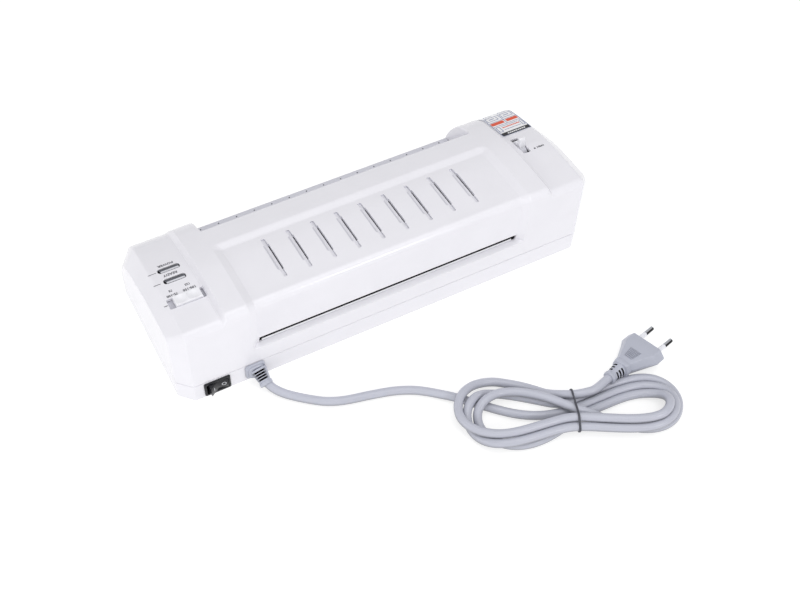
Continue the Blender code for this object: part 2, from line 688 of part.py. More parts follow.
def gear_train():
    axes = roller_axes()
    idler, motor = idler_place(), motor_place()
    lower, upper = axes["heat_roller_lower"], axes["heat_roller_upper"]
    exit_lower, exit_upper = axes["exit_roller_lower"], axes["exit_roller_upper"]
    bore = JOURNAL + 0.0002
    upper_phase = phase_in_mesh(lower, HEAT_TEETH, 0.0, upper, HEAT_TEETH)
    idler_phase = phase_in_mesh(lower, HEAT_TEETH, 0.0, idler, IDLER_TEETH)
    exit_phase = phase_in_mesh(idler, IDLER_TEETH, idler_phase, exit_lower, EXIT_TEETH)
    exit_upper_phase = phase_in_mesh(exit_lower, EXIT_TEETH, exit_phase, exit_upper, EXIT_TEETH)
    pinion_phase = phase_in_mesh(lower, HEAT_TEETH, 0.0, motor, PINION_TEETH)
    gear("heat_gear_lower", HEAT_TEETH, *lower, 0.0, GEAR_RUN, bore)
    gear("heat_gear_upper", HEAT_TEETH, *upper, upper_phase, GEAR_RUN, bore)
    gear("idler_gear", IDLER_TEETH, *idler, idler_phase, GEAR_RUN, 0.0022)
    gear("exit_gear_lower", EXIT_TEETH, *exit_lower, exit_phase, GEAR_RUN, bore)
    gear("exit_gear_upper", EXIT_TEETH, *exit_upper, exit_upper_phase, GEAR_RUN, bore)
    gear("motor_pinion", PINION_TEETH, *motor, pinion_phase, GEAR_RUN, 0.0017)
    pin = prism_x(circle((y_at(idler[0]), idler[1]), 0.0019, 12),
                  x_at(FRAME_RUNS["right"] + FRAME_SHEET + GAP), x_at(GEAR_RUN[1] + 0.002))
    finish("idler_pin", pin, STEEL, 0.3, 1.0, smooth=True)


def motor():
    """Slow synchronous gear motor beside the gears, its shaft pointing back into the pinion."""
    depth, z = motor_place()
    steps = [(0.0, 0.0015), (0.0080, 0.0015), (0.0080, 0.0190), (0.0260, 0.0190)]
    mesh = turned(steps, (x_at(GEAR_RUN[0] - 0.0005), y_at(depth), z), (1, 0, 0), 28)
    finish("drive_motor", mesh, STEEL, 0.35, 0.9, smooth=True)


def side_frames():
    for side, run in FRAME_RUNS.items():
        outline = [(0.018, 0.0055), (0.104, 0.0055), (0.104, 0.0340), (0.091, 0.0640), (0.076, 0.0680),
                   (0.018, 0.0680)]
        mesh = prism_x([(y_at(d), z) for d, z in outline], x_at(run), x_at(run + FRAME_SHEET))
        holes = [prism_x(circle((y_at(depth), z), 0.0051, 16), x_at(run) - 0.01, x_at(run) + 0.01)
                 for depth, z in roller_axes().values()]
        mesh = cut(mesh, joined(holes))
        finish(side + "_side_frame", mesh, STEEL, 0.35, 0.9)


def stays_and_heaters():
    """Two cross bars between the frames and the two heated platens before the rollers."""
    low, high = x_at(FRAME_RUNS["left"] + FRAME_SHEET + GAP), x_at(FRAME_RUNS["right"] - GAP)
    for name, depth, z in (("near_stay", 0.0235, 0.0620), ("far_stay", 0.0800, 0.0120)):
        mesh = prism_x(circle((y_at(depth), z), 0.0030, 14), low, high)
        finish(name, mesh, STEEL, 0.3, 1.0, smooth=True)
    for name, near_z, far_z in (("upper_heater", 0.0440, 0.0500), ("lower_heater", 0.0330, 0.0390)):
        mesh = block((low, y_at(0.0770), near_z), (high, y_at(0.0905), far_z))
        finish(name, mesh, (0.70, 0.70, 0.72), 0.4, 0.9)
    can = turned([(0.0, 0.0060), (0.0050, 0.0060)], (0.02, y_at(0.0840), 0.0503), (0, 0, 1), 18)
    finish("thermostat", can, (0.15, 0.15, 0.16), 0.5, smooth=True)


def electrics():
    board = block((x_at(0.0080), y_at(0.0240), 0.0600), (x_at(0.0380), y_at(0.0790), 0.0616))
    finish("control_board", board, (0.05, 0.25, 0.10), 0.5)
    middle = sum(SLIDER_KNOB) / 2
    body = block((x_at(middle - 0.0090), y_at(0.0310), 0.0619), (x_at(middle + 0.0090), y_at(0.0385), 0.0722))
    finish("mode_switch", body, STEEL, 0.4, 0.8)


def pressure_springs():
    """Coil springs inside the frames that press the upper heat roller down."""
    depth, z = roller_axes()["heat_roller_upper"]
    turns, coil, wire, rise, steps = 4, 0.0022, 0.0004, 0.0019, 10
    for side, run in FRAME_RUNS.items():
        middle = x_at(run + (0.0050 if side == "left" else -0.0035))
        points = []
        for i in range(turns * steps + 1):
            a = 2 * math.pi * i / steps
            points.append((middle + coil * math.cos(a), y_at(depth) + coil * math.sin(a),
                           z + 0.0060 + rise * i / steps))
        tube(side + "_pressure_spring", points, wire, 1, (0.6, 0.6, 0.62), 1.0)


# The mains lead

def tube(name, points, radius, fineness, colour, metallic=0.0):
    curve = bpy.data.curves.new(name, "CURVE")
    curve.dimensions = "3D"
    curve.bevel_depth = radius
    curve.bevel_resolution = fineness
    curve.use_fill_caps = True
    curve.render_resolution_u = 0
    spline = curve.splines.new("POLY")
    spline.points.add(len(points) - 1)
    for knot, point in zip(spline.points, points):
        knot.co = (*point, 1.0)
    piece = bpy.data.objects.new(name, curve)
    curve.materials.append(material(name, colour, 0.45, metallic))
    bpy.context.scene.collection.objects.link(piece)
    return piece


def boot_axis():
    """Start and end of the strain relief's centre line."""
    start = Vector((x_at(sum(INLET_RUN) / 2), y_at(-0.0018), sum(INLET_Z) / 2 + 0.0002))
    end = Vector((x_at(0.0640), y_at(-0.0128), 0.0076))
    return start, end


def cord_boot():
    """Moulded flange, neck through the wall and tapered strain relief."""
    start, end = boot_axis()
    x0, x1 = (x_at(r) for r in INLET_RUN)
    flange = prism_y(rounded_rectangle(((x0 + x1) / 2, sum(INLET_Z) / 2),
                                       (x1 - x0, INLET_Z[1] - INLET_Z[0]), 0.002), y_at(-0.0022), y_at(-GAP))
    middle = ((x0 + x1) / 2, sum(INLET_Z) / 2)
    neck = prism_y(rounded_rectangle(middle, (0.0102, 0.0092), 0.001), y_at(-0.0015), y_at(0.0045))
    run = (end - start).length
    steps = [(0.0, 0.0026), (0.0024, 0.0066)]
    ribs = 4
    for i in range(ribs):
        a = run * (0.22 + 0.56 * i / ribs)
        b = run * (0.22 + 0.56 * (i + 0.5) / ribs)
        steps += [(a, 0.0066 - 0.0003 * i), (a, 0.0056 - 0.0003 * i), (b, 0.0056 - 0.0003 * i),
                  (b, 0.0066 - 0.0003 * i)]
    steps += [(run * 0.80, 0.0057), (run, 0.0051)]
    relief = turned(steps, start, end - start, 18)
    mesh = cut(cut(flange, neck, "UNION"), relief, "UNION")
    finish("cord_boot", mesh, CORD_GREY, 0.5, smooth=True)


def lead_points():
    """Hand-set route of the loose stretch, from the strain relief to the hank."""
    start, end = boot_axis()
    along = (end - start).normalized()
    ahead = [end + along * reach for reach in (0.0007, 0.0045)]
    places = [(0.0702, -0.0212, 0.0043), (0.0775, -0.0290, 0.0036), (0.0860, -0.0372, 0.0036),
              (0.0950, -0.0440, 0.0036), (0.1060, -0.0500, 0.0036), (0.1280, -0.0555, 0.0036),
              (0.1500, -0.0615, 0.0036), (0.1670, -0.0700, 0.0036), (0.1755, -0.0770, 0.0036),
              (0.1835, -0.0840, 0.0036), (0.1903, -0.0902, 0.0036)]
    return ahead + [Vector((x_at(run), y_at(depth), z)) for run, depth, z in places]


def hank_frame():
    """Middle of the hank, its direction, the direction across it and half the span of its ends."""
    a, b = (Vector((x_at(run), y_at(depth))) for run, depth, _ in HANK_ENDS)
    along = (b - a).normalized()
    return (a + b) / 2, along, Vector((-along.y, along.x)), (b - a).length / 2


def hank_side(side):
    """Edge of the hank between its two round ends, from the right end to the left."""
    middle, along, across, half = hank_frame()
    points = []
    for t in (0.62, 0.36, 0.12, -0.12, -0.36, -0.62):
        radius = HANK_ENDS[1][2] if t > 0 else HANK_ENDS[0][2]
        blend = min(max((abs(t) - 0.12) / 0.70, 0), 1)
        width = WAIST_HALF + (radius - WAIST_HALF) * blend
        points.append(middle + along * half * t + across * (side * width + WAIST_SHIFT * (1 - blend)))
    return points


def hank_outline():
    """Plan of the folded cord: two round ends and a narrower waist under the tie."""
    middle, along, across, half = hank_frame()
    points = []
    for end, radius in ((1, HANK_ENDS[1][2]), (-1, HANK_ENDS[0][2])):
        for i in range(13):
            a = math.pi * (i / 12 - 0.5)
            points.append(middle + end * (along * (half + radius * math.cos(a)) + across * radius * math.sin(a)))
        points += hank_side(1) if end > 0 else hank_side(-1)[::-1]
    return points


def cord_hank():
    middle, along, across, _ = hank_frame()
    centre = middle + across * WAIST_SHIFT
    corners = ((1, 1), (-1, 1), (-1, -1), (1, -1))
    waist = [centre + along * a * WAIST_LENGTH / 2 + across * b * WAIST_HALF * 0.98 for a, b in corners]
    mesh = cut(prism_z(hank_outline(), 0.0004, HANK_HEIGHT), prism_z(waist, 0.0050, WAIST_HEIGHT), "UNION")
    room = turned([(0.0, 0.0050), (0.0025, 0.0066), (0.0155, 0.0068), (0.0165, 0.0092), (0.0400, 0.0175),
                   (0.0520, 0.0192)], (-0.0500, 0, 0), (1, 0, 0), 24)
    room.transform(plug_matrix())
    mesh = cut(mesh, room)
    finish("cord_hank", mesh, CORD_GREY, 0.45)


def cord_tie():
    """Thin band over the waist of the hank and down both sides."""
    middle, along, across, _ = hank_frame()
    centre = middle + across * WAIST_SHIFT
    inner, outer = WAIST_HALF + GAP, WAIST_HALF + GAP + TIE_THICKNESS
    low, roof = 0.0006, WAIST_HEIGHT + GAP
    arch = [(-outer, low), (-outer, roof + TIE_THICKNESS), (outer, roof + TIE_THICKNESS), (outer, low),
            (inner, low), (inner, roof), (-inner, roof), (-inner, low)]
    rings = []
    for shift in (-TIE_THICKNESS / 2, TIE_THICKNESS / 2):
        places = [(centre + across * side + along * shift, z) for side, z in arch]
        rings.append([(place.x, place.y, z) for place, z in places])
    finish("cord_tie", loft(rings), (0.16, 0.16, 0.18), 0.6)


def plug_matrix():
    """Placement of the plug: its own +X runs from the cord to the pins."""
    turn = (Matrix.Rotation(PLUG_HEADING, 4, "Z") @ Matrix.Rotation(PLUG_DIP, 4, "Y")
            @ Matrix.Rotation(PLUG_ROLL, 4, "X"))
    run, depth, z = PLUG_FACE
    return Matrix.Translation((x_at(run), y_at(depth), z)) @ turn


def plug_section(x, widest, flat, thick):
    """Six-sided section across the plug: flat above and below, with a blunt edge on either side."""
    half = [(widest, -0.0006), (widest, 0.0006), (flat, thick), (-flat, thick)]
    return [(x, y, z) for y, z in half + [(-y, -z) for y, z in half]]


def plug():
    place = plug_matrix()
    body = loft([plug_section(*station) for station in PLUG_STATIONS])
    ribs = []
    for i in range(4):
        a = 0.0125 - 0.0032 * i
        ribs += [(a + 0.0018, 0.0060 - 0.0004 * (3 - i)), (a + 0.0018, 0.0050 - 0.0003 * (3 - i)),
                 (a, 0.0050 - 0.0003 * (3 - i)), (a, 0.0060 - 0.0004 * (3 - i))]
    steps = [(0.0, 0.0046)] + [(0.0152 - a, r) for a, r in ribs] + [(0.0162, 0.0060)]
    relief = turned(steps, (-0.0472, 0, 0), (1, 0, 0), 18)
    mesh = cut(body, relief, "UNION")
    holes = [turned([(0.0, 0.0023), (0.0100, 0.0023)], (-0.0080, side * PIN_SPACING / 2, 0), (1, 0, 0), 14)
             for side in (-1, 1)]
    mesh = cut(mesh, joined(holes))
    mesh.transform(place)
    finish("plug_body", mesh, CORD_GREY, 0.5, smooth=True)
    for name, side in (("plug_pin_near", -1), ("plug_pin_far", 1)):
        steps = [(0.0, 0.0020), (0.0258, 0.0020), (0.0266, 0.0014)]
        pin = turned(steps, (-0.0076, side * PIN_SPACING / 2, 0), (1, 0, 0), 14)
        pin.transform(place)
        finish(name, pin, (0.75, 0.75, 0.77), 0.2, 1.0, smooth=True)


def tail_points():
    """Short stretch from the top of the waist to the plug's strain relief."""
    place = plug_matrix()
    middle, along, across, _ = hank_frame()
    start = middle + along * (WAIST_LENGTH / 2 + 0.0018) + across * 0.0076
    rise = HANK_HEIGHT + GAP * 2 + CORD_DIAMETER / 2
    return [Vector((*start, rise))] + [place @ Vector((-reach, 0, 0)) for reach in (0.0560, 0.0520, 0.0480)]


def mains_lead():
    cord_boot()
    radius = CORD_DIAMETER / 2
    tube("cord_lead", smooth_path(lead_points(), CORD_DIAMETER * 1.6), radius, 3, CORD_GREY)
    cord_hank()
    cord_tie()
    tube("cord_tail", smooth_path(tail_points(), CORD_DIAMETER * 0.8), radius, 3, CORD_GREY)
    plug()


def main():
    clear_scene()
    top_cover()
    base_tray()
    feet_and_screws()
    feed_tray()
    exit_guide()
    lamp_lenses()
    mode_slider()
    release_lever()
    instruction_label()
    mains_switch()
    rollers()
    gear_train()
    motor()
    side_frames()
    stays_and_heaters()
    electrics()
    pressure_springs()
    mains_lead()


main()
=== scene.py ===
"""Looks of the pouch laminator and its mains lead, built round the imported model.

Places are given in millimetres as (run, depth, z): the distance from the left end of the casing,
the distance behind its near face and the height above the table.
"""
import math

import bmesh
import bpy
from mathutils import Matrix, Vector


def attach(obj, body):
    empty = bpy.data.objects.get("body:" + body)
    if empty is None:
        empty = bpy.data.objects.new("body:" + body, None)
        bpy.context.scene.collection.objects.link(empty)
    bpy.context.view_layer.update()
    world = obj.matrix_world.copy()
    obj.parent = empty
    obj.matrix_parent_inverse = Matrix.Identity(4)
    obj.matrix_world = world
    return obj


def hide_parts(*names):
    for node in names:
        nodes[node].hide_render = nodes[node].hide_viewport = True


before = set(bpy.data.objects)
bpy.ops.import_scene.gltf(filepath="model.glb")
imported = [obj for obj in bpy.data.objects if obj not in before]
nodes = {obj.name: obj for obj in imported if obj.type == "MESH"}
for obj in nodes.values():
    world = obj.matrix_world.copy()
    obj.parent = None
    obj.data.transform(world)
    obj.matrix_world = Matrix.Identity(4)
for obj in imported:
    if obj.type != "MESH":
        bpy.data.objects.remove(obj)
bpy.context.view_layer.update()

# The frame's sizes, in millimetres
LENGTH, DEPTH, MIDDLE_DEPTH = 360.0, 133.0, 64.5
CORNER, WALL, GAP, SEAM = 10.5, 2.5, 0.3, 20.0
EDGE_ROUND = 6.0
TOP_LINE = ((6, 82.9), (30, 81.8), (55, 79.6), (80, 73.8), (105, 66.4), (133, 56.0))
FAR_ARC_RADIUS, FAR_ARC_Z = 50.0, 22.7
STEP_FOOT, STEP_HEAD, STEP_RISE, STEP_FADE_FROM = 39.5, 43.5, 5.1, 97.0
PANEL_OUTER, PANEL_SLOPE, PANEL_SINK, PANEL_FAR, PANEL_CORNER = 60.0, 7.0, 3.0, 72.6, 7.0
LEDGE_LOW, LEDGE_HIGH, LEDGE_DEPTH, SLOT_TOP = 36.7, 37.8, 4.5, 45.2
SLOT_SIDE, TRAY_SIDE = 67.3, 61.0
OVERHANG_DEPTH, OVERHANG_LOW = 96.2, 45.7
VENT_COUNT, VENT_PITCH = 9, 20.45
VENT_SPAN, VENT_WIDE_SPAN, VENT_NARROW = (18.5, 61.7), (26.3, 54.5), 2.7
VENT_RAMP, VENT_SLIT = (-2.8, 2.0), 0.75
LAMP_RUN, LAMP_DEPTHS, LAMP_SIZE = 25.5, (70.5, 57.2), (17.4, 5.8)
SLIDER_SLOT, SLIDER_KNOB = ((11.8, 40.0), (29.5, 39.5)), (16.5, 37.4)
LEVER_SLOT, LEVER_PIVOT = ((324.5, 330.8), (50.2, 71.5)), (61.5, 65.5)
LABEL_RUN, LABEL_DEPTH = (322.0, 349.5), (78.0, 123.5)
SWITCH_RUN, SWITCH_Z, ROCKER_TILT = (18.4, 39.7), (3.7, 19.0), math.radians(12)
INLET_RUN, INLET_Z = (52.0, 68.0), (5.5, 20.4)
CORD_DIAMETER = 7.0
HANK_ENDS = ((210.0, -117.0), (315.0, -159.0))
PLUG_FACE = (344.1, -117.4, 8.9)
PLUG_TURNS = (math.radians(15.7), math.radians(3), math.radians(-7.2))
PIN_SPACING = 18.6
SCREW_PLACE, FOOT_PLACE = (22.0, 20.0), (40.0, 18.0)
CHAMFER_FADE = 30.0

# The camera: heading, drop and roll in radians, then millimetres
CAMERA_TURN, CAMERA_DROP, CAMERA_ROLL = 0.529, 0.919, 0.05
CAMERA_PLACE = (-112.8, -510.4, 800.1)
CAMERA_LENS, CAMERA_SENSOR = 55.6065, 36.0

CORD_ROUTE = (
    (63.5, -11.5, 8.3), (66.9, -18.2, 5.5), (71.8, -24.3, 4.0), (77.5, -29.9, 3.5), (83.5, -35.2, 3.5),
    (89.7, -40.2, 3.5), (96.2, -44.9, 3.5), (103.3, -48.6, 3.5), (110.8, -51.4, 3.5), (118.5, -53.4, 3.5),
    (126.3, -55.1, 3.5), (134.1, -57.0, 3.5), (141.9, -59.0, 3.5), (149.5, -61.4, 3.5),
    (156.9, -64.5, 3.5), (163.9, -68.2, 3.5), (170.5, -72.8, 3.5), (176.7, -77.8, 3.5),
    (182.8, -83.0, 3.5), (188.7, -88.4, 3.5), (194.2, -94.2, 3.5), (199.6, -100.1, 3.5),
    (205.2, -105.9, 3.5), (210.8, -111.6, 3.5), (216.6, -117.1, 3.5), (222.7, -122.2, 3.5),
    (229.3, -126.7, 3.5), (236.3, -130.5, 3.5), (243.8, -133.4, 3.5), (251.5, -135.5, 3.5),
    (259.4, -136.9, 3.5), (267.3, -137.8, 3.5), (275.3, -138.1, 3.5), (283.3, -138.3, 3.5),
    (291.3, -138.6, 3.5), (299.3, -139.0, 3.5), (307.2, -139.9, 3.5), (315.1, -141.4, 3.5),
    (322.7, -143.9, 3.6), (329.3, -148.2, 4.3), (333.9, -154.4, 6.0), (335.6, -161.9, 7.9),
    (334.2, -169.6, 9.3), (329.6, -176.0, 10.1), (322.8, -180.1, 10.5), (315.1, -181.8, 10.5),
    (307.1, -181.1, 10.2), (299.5, -178.8, 9.9), (292.2, -175.6, 9.8), (285.0, -172.0, 9.9),
    (278.0, -168.1, 9.9), (271.1, -164.1, 9.9), (264.2, -160.1, 9.9), (257.1, -156.4, 9.9),
    (249.7, -153.3, 10.1), (242.0, -151.4, 10.3), (234.1, -150.1, 10.5), (226.2, -149.0, 10.4),
    (218.2, -147.8, 10.4), (210.4, -146.5, 10.5), (202.6, -144.5, 10.3), (195.5, -141.1, 9.3),
    (189.7, -136.0, 7.4), (186.0, -129.3, 5.2), (184.0, -121.7, 4.3), (184.0, -113.8, 5.4),
    (186.5, -106.8, 8.3), (191.8, -101.4, 10.4), (198.9, -97.9, 10.2), (206.1, -96.7, 7.3),
    (213.5, -97.9, 4.5), (220.6, -101.3, 3.6), (227.2, -105.9, 3.5), (233.5, -110.8, 3.5),
    (239.6, -115.9, 3.5), (245.7, -121.1, 3.5), (252.0, -126.1, 3.5), (259.1, -129.7, 3.5),
    (266.9, -130.9, 3.5), (274.9, -131.2, 3.5), (282.9, -131.4, 3.5), (290.9, -131.6, 3.5),
    (298.9, -132.1, 3.5), (306.9, -132.9, 3.5), (314.8, -134.2, 3.5), (322.5, -136.2, 3.5),
    (329.7, -139.6, 3.5), (335.8, -144.7, 3.5), (339.8, -151.6, 3.5), (341.2, -159.4, 3.5),
    (339.8, -167.2, 3.5), (335.5, -173.9, 3.5), (329.3, -178.8, 3.5), (321.7, -181.2, 3.5),
    (313.7, -181.0, 3.5), (306.1, -178.8, 3.5), (299.1, -175.0, 3.5), (292.8, -170.0, 3.5),
    (286.9, -164.6, 4.0), (281.1, -159.3, 5.4), (275.3, -154.3, 7.6), (269.5, -149.2, 9.7),
    (263.8, -143.7, 10.7), (258.7, -137.6, 10.8), (253.9, -131.2, 10.6), (248.9, -124.9, 10.5),
    (243.3, -119.2, 10.5), (237.3, -113.9, 10.5), (230.9, -109.2, 10.5), (223.7, -105.6, 10.8),
    (216.0, -103.6, 11.6), (208.1, -103.6, 12.2), (200.4, -105.5, 11.3), (194.4, -109.6, 8.1),
    (191.5, -116.2, 4.7), (191.6, -124.0, 3.5), (194.1, -131.6, 3.5), (198.4, -138.3, 3.5),
    (204.4, -143.5, 3.5), (211.6, -147.1, 3.5), (219.3, -149.1, 3.5), (227.2, -149.9, 3.5),
    (235.2, -149.7, 3.5), (243.2, -148.8, 3.5), (251.1, -147.5, 3.5), (258.9, -146.1, 3.5),
    (266.9, -145.1, 3.5), (274.9, -145.0, 3.5), (282.9, -145.2, 3.5), (290.9, -145.5, 3.5),
    (298.9, -145.9, 3.5), (306.8, -146.8, 3.5), (314.6, -148.6, 3.5), (321.8, -151.8, 4.0),
    (327.2, -156.8, 6.7), (329.2, -162.8, 11.1), (328.0, -169.4, 14.5), (323.3, -174.7, 15.9),
    (316.3, -177.3, 15.9), (308.5, -176.4, 15.3), (300.9, -173.8, 14.8), (293.6, -170.5, 14.6),
    (286.6, -166.8, 14.5), (279.6, -162.8, 14.5), (272.7, -158.7, 14.3), (266.0, -154.5, 13.9),
    (259.1, -150.5, 13.5), (251.7, -147.3, 13.3), (244.0, -145.4, 13.3), (236.1, -144.3, 13.6),
    (228.1, -143.2, 13.8), (220.2, -142.1, 13.9), (212.3, -140.7, 13.8), (204.7, -138.5, 13.4),
    (197.5, -135.2, 12.7), (191.0, -130.5, 12.0), (185.5, -124.8, 11.4), (181.3, -118.0, 11.3),
    (179.6, -110.2, 11.3), (181.3, -102.5, 11.0), (185.6, -95.8, 10.8), (191.8, -90.7, 10.4),
    (198.7, -87.4, 8.4), (206.1, -85.7, 6.0), (213.9, -86.1, 4.2), (221.3, -88.7, 3.5),
    (227.9, -93.3, 3.5), (234.2, -98.3, 3.5), (240.2, -103.7, 3.5), (245.6, -109.7, 4.0),
    (250.6, -115.8, 4.6), (256.6, -120.8, 5.6), (262.4, -125.7, 8.0), (268.7, -130.0, 9.9),
    (276.4, -132.6, 10.7), (284.7, -133.7, 11.1), (298.4, -130.2, 11.4), (301.8, -129.3, 11.2),
    (305.6, -128.2, 11.0))



def place(run, depth, z):
    """A point in the frame's metres."""
    return Vector(((run - LENGTH / 2) / 1000, (depth - MIDDLE_DEPTH) / 1000, z / 1000))


def unplace(point):
    """The (run, depth, z) of a point in metres."""
    return Vector((point.x * 1000 + LENGTH / 2, point.y * 1000 + MIDDLE_DEPTH, point.z * 1000))


def srgb(*levels):
    """Linear colour of a screen colour."""
    return tuple((b / 255 / 12.92) if b <= 10 else ((b / 255 + 0.055) / 1.055) ** 2.4 for b in levels)


# Camera, light and floor

def build_camera():
    """Camera from its heading, drop and roll."""
    turn, drop, roll = CAMERA_TURN, CAMERA_DROP, CAMERA_ROLL
    ahead = Vector((math.sin(turn) * math.cos(drop), math.cos(turn) * math.cos(drop), -math.sin(drop)))
    side = ahead.cross(Vector((0, 0, 1))).normalized()
    up = side.cross(ahead)
    right = side * math.cos(roll) + up * math.sin(roll)
    top = up * math.cos(roll) - side * math.sin(roll)
    data = bpy.data.cameras.new("camera")
    data.sensor_width = CAMERA_SENSOR
    data.lens = CAMERA_LENS
    data.clip_end = 20.0
    camera = bpy.data.objects.new("camera", data)
    axes = Matrix((right, top, -ahead)).transposed().to_4x4()
    camera.matrix_world = Matrix.Translation(place(*CAMERA_PLACE)) @ axes
    bpy.context.scene.collection.objects.link(camera)
    bpy.context.scene.camera = camera


def area_light(name, where, aim, size, power, colour=(1, 1, 1)):
    data = bpy.data.lights.new(name, "AREA")
    data.shape = "DISK"
    data.size = size
    data.energy = power
    data.color = colour
    light = bpy.data.objects.new(name, data)
    light.location = where
    light.rotation_mode = "QUATERNION"
    light.rotation_quaternion = (Vector(aim) - Vector(where)).to_track_quat("-Z", "Y")
    bpy.context.scene.collection.objects.link(light)


def build_studio():
    """White surroundings, four soft lights and a pale floor."""
    scene = bpy.context.scene
    scene.view_settings.view_transform = "Standard"
    world = bpy.data.worlds.new("studio")
    world.use_nodes = True
    sky = world.node_tree.nodes["Background"]
    sky.inputs["Color"].default_value = (1.0, 1.0, 1.0, 1.0)
    sky.inputs["Strength"].default_value = 0.60
    scene.world = world
    area_light("key", (0.38, -1.15, 0.78), (0, 0, 0.04), 0.20, 2.5)
    area_light("fill", (-0.75, -0.95, 0.75), (0, 0, 0.03), 0.9, 1.9)
    area_light("top", (0.10, -0.25, 1.30), (0, 0, 0), 1.1, 4.6)
    area_light("left", (-1.25, -0.10, 0.55), (-0.1, 0, 0.03), 0.5, 2.3)
    mesh = bpy.data.meshes.new("floor")
    mesh.from_pydata([(-30, -30, 0), (30, -30, 0), (30, 30, 0), (-30, 30, 0)], [], [(0, 1, 2, 3)])
    floor = bpy.data.objects.new("floor", mesh)
    floor.location.z = -0.0001
    paint = bpy.data.materials.new("floor_paint")
    paint.use_nodes = True
    tree = paint.node_tree
    shader = tree.nodes["Principled BSDF"]
    shader.inputs["Base Color"].default_value = (0.45, 0.45, 0.45, 1)
    shader.inputs["Roughness"].default_value = 0.9
    shader.inputs["Specular IOR Level"].default_value = 0.1
    shader.inputs["Emission Color"].default_value = (1, 1, 1, 1)
    shader.inputs["Emission Strength"].default_value = 0.68
    mesh.materials.append(paint)
    scene.collection.objects.link(floor)


# Materials

def noise(tree, scale, detail, source, stretch=None):
    if stretch:
        bend = tree.nodes.new("ShaderNodeMapping")
        bend.inputs["Scale"].default_value = stretch
        tree.links.new(source, bend.inputs["Vector"])
        source = bend.outputs["Vector"]
    made = tree.nodes.new("ShaderNodeTexNoise")
    made.inputs["Scale"].default_value = scale
    made.inputs["Detail"].default_value = detail
    tree.links.new(source, made.inputs["Vector"])
    return made.outputs["Fac"]


def mapped(tree, value, low, high):
    made = tree.nodes.new("ShaderNodeMapRange")
    made.inputs["From Min"].default_value = 0.3
    made.inputs["From Max"].default_value = 0.7
    made.inputs["To Min"].default_value = low
    made.inputs["To Max"].default_value = high
    tree.links.new(value, made.inputs["Value"])
    return made.outputs["Result"]


def blended(tree, value, first, second):
    made = tree.nodes.new("ShaderNodeMix")
    made.data_type = "RGBA"
    made.inputs["A"].default_value = (*first, 1)
    made.inputs["B"].default_value = (*second, 1)
    tree.links.new(value, made.inputs["Factor"])
    return made.outputs["Result"]


def paint_shade_by_facing(tree, tone, towards, start, end, shade):
    """Painted shade: darken a colour to a share of itself on faces turned towards a direction."""
    turn = tree.nodes.new("ShaderNodeVectorMath")
    turn.operation = "DOT_PRODUCT"
    turn.inputs[1].default_value = Vector(towards).normalized()
    tree.links.new(tree.nodes.new("ShaderNodeTexCoord").outputs["Normal"], turn.inputs[0])
    share = tree.nodes.new("ShaderNodeMapRange")
    share.inputs["From Min"].default_value = start
    share.inputs["From Max"].default_value = end
    share.inputs["To Min"].default_value = 1.0
    share.inputs["To Max"].default_value = shade
    tree.links.new(turn.outputs["Value"], share.inputs["Value"])
    mix = tree.nodes.new("ShaderNodeVectorMath")
    mix.operation = "SCALE"
    tree.links.new(tone, mix.inputs[0])
    tree.links.new(share.outputs["Result"], mix.inputs["Scale"])
    return mix.outputs["Vector"]


def surface_material(name, colour, roughness, grain=2600.0, bump=0.12, tint=0.03, metallic=0.0,
                     stretch=None, coat=0.0, specular=0.5, cloud=45.0, height=0.00006, painted_shading=None):
    """Procedural surface: slow colour clouds, fine grain in the roughness and a fine bump.

    Painted shading darkens faces turned one way: direction, where it starts and ends, and how dark."""
    made = bpy.data.materials.new(name)
    made.use_nodes = True
    tree = made.node_tree
    shader = tree.nodes["Principled BSDF"]
    where = tree.nodes.new("ShaderNodeTexCoord").outputs["Object"]
    dark = tuple(c * (1 - tint) for c in colour)
    light = tuple(min(c * (1 + tint), 1.0) for c in colour)
    clouds = mapped(tree, noise(tree, cloud, 3.0, where), 0.0, 1.0)
    tone = blended(tree, clouds, dark, light)
    # Painted shade: faces turned one way are darkened in the base colour itself.
    if painted_shading:
        tone = paint_shade_by_facing(tree, tone, *painted_shading)
    tree.links.new(tone, shader.inputs["Base Color"])
    fine = noise(tree, grain, 2.0, where, stretch)
    tree.links.new(mapped(tree, fine, roughness - 0.06, roughness + 0.06), shader.inputs["Roughness"])
    relief = tree.nodes.new("ShaderNodeBump")
    relief.inputs["Strength"].default_value = bump
    relief.inputs["Distance"].default_value = height
    tree.links.new(fine, relief.inputs["Height"])
    tree.links.new(relief.outputs["Normal"], shader.inputs["Normal"])
    shader.inputs["Metallic"].default_value = metallic
    shader.inputs["Coat Weight"].default_value = coat
    shader.inputs["Specular IOR Level"].default_value = specular
    made.diffuse_color = (*colour, 1)
    return made


# Looks: name, screen colour, roughness, grain, bump and tint, then whatever else differs

